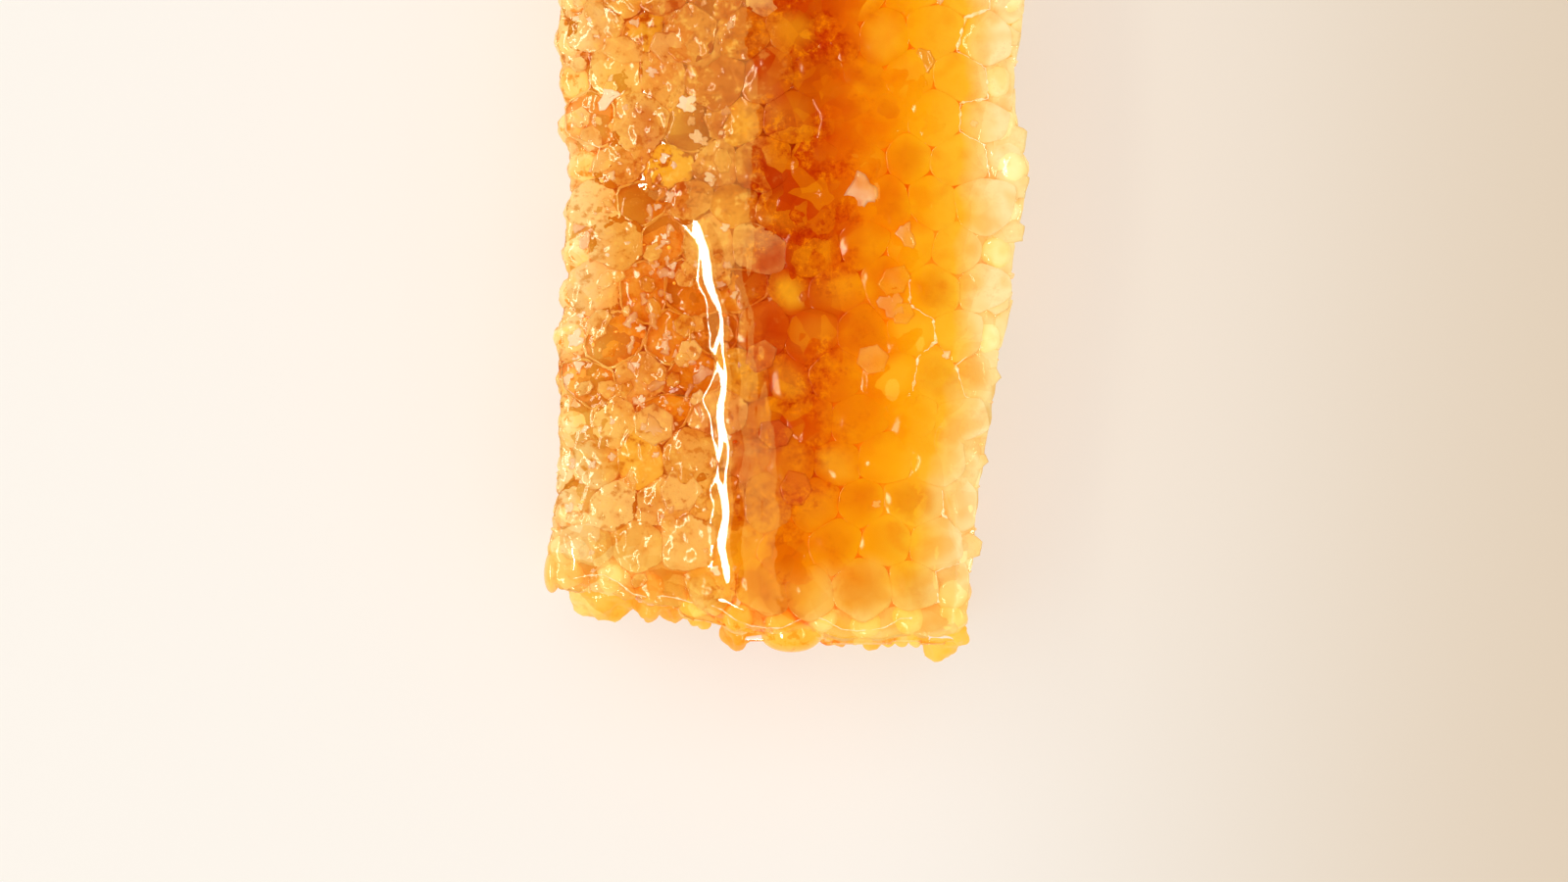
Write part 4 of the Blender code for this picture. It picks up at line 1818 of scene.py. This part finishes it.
class MESH_OT_comb_flakes(bpy.types.Operator):
    """Scatter flakes, broken caps, wrinkles and granules of wax over the shown face"""

    bl_idname = "mesh.comb_flakes"
    bl_label = "Flakes and broken caps"

    def execute(self, context):
        material = flake_material(groups_of(context.scene), context.scene.comb_colours)
        for piece in make_flakes():
            finish_piece(piece, material)
        for piece in make_slabs():
            finish_piece(piece, bpy.data.materials["cell_wax"])
        finish_piece(make_worms(), material)
        finish_piece(make_grains(), bpy.data.materials["cut_honey"])
        return {"FINISHED"}


class MESH_OT_comb_film(bpy.types.Operator):
    """Pour the clear honey over the middle and the foot"""

    bl_idname = "mesh.comb_film"
    bl_label = "Honey film"

    def execute(self, context):
        finish_piece(make_film(context.scene.comb_sizes), film_material())
        return {"FINISHED"}


class MESH_OT_comb_foot(bpy.types.Operator):
    """Hang lobes and a lip of honey from the foot, and lay threads along the margins"""

    bl_idname = "mesh.comb_foot"
    bl_label = "Foot and threads"

    def execute(self, context):
        colours = context.scene.comb_colours
        groups = groups_of(context.scene)
        honey = bpy.data.materials["cut_honey"]
        finish_piece(make_lobes(), honey)
        finish_piece(make_lip(), open_cell_material(groups, colours, "lip_honey", 1.0, EDGE_PAINTED_GLOW))
        finish_piece(make_threads(context.scene.comb_sizes), thread_material(groups, colours))
        return {"FINISHED"}


class SCENE_OT_comb_stage(bpy.types.Operator):
    """Set up the table, the lights and the camera"""

    bl_idname = "scene.comb_stage"
    bl_label = "Stage"

    def execute(self, context):
        make_table(context.scene.comb_colours)
        make_world()
        make_lamps()
        make_camera()
        context.scene.view_settings.view_transform = "Standard"
        return {"FINISHED"}


OPERATORS = (
    MESH_OT_comb_body,
    MESH_OT_comb_cells,
    MESH_OT_comb_back,
    MESH_OT_comb_sides,
    MESH_OT_comb_flakes,
    MESH_OT_comb_film,
    MESH_OT_comb_foot,
    SCENE_OT_comb_stage,
)


class VIEW3D_PT_comb(bpy.types.Panel):
    """Lists the steps that make the honeycomb piece"""

    bl_label = "Honeycomb"
    bl_idname = "VIEW3D_PT_comb"
    bl_space_type = "VIEW_3D"
    bl_region_type = "UI"
    bl_category = "Honeycomb"

    def draw(self, context):
        for group in (context.scene.comb_sizes, context.scene.comb_colours):
            for name in group.bl_rna.properties.keys():
                if name not in ("rna_type", "name"):
                    self.layout.prop(group, name)
        for operator in OPERATORS:
            self.layout.operator(operator.bl_idname)


CLASSES = (CombSizes, CombColours, *OPERATORS, VIEW3D_PT_comb)


def register():
    for cls in CLASSES:
        bpy.utils.register_class(cls)
    bpy.types.Scene.comb_sizes = bpy.props.PointerProperty(type=CombSizes)
    bpy.types.Scene.comb_colours = bpy.props.PointerProperty(type=CombColours)


def unregister():
    del bpy.types.Scene.comb_colours
    del bpy.types.Scene.comb_sizes
    for cls in reversed(CLASSES):
        bpy.utils.unregister_class(cls)


def main():
    register()
    bpy.ops.mesh.comb_body()
    bpy.ops.mesh.comb_cells()
    bpy.ops.mesh.comb_back()
    bpy.ops.mesh.comb_sides()
    bpy.ops.mesh.comb_flakes()
    bpy.ops.mesh.comb_film()
    bpy.ops.mesh.comb_foot()
    bpy.ops.scene.comb_stage()


if __name__ == "__main__":
    main()
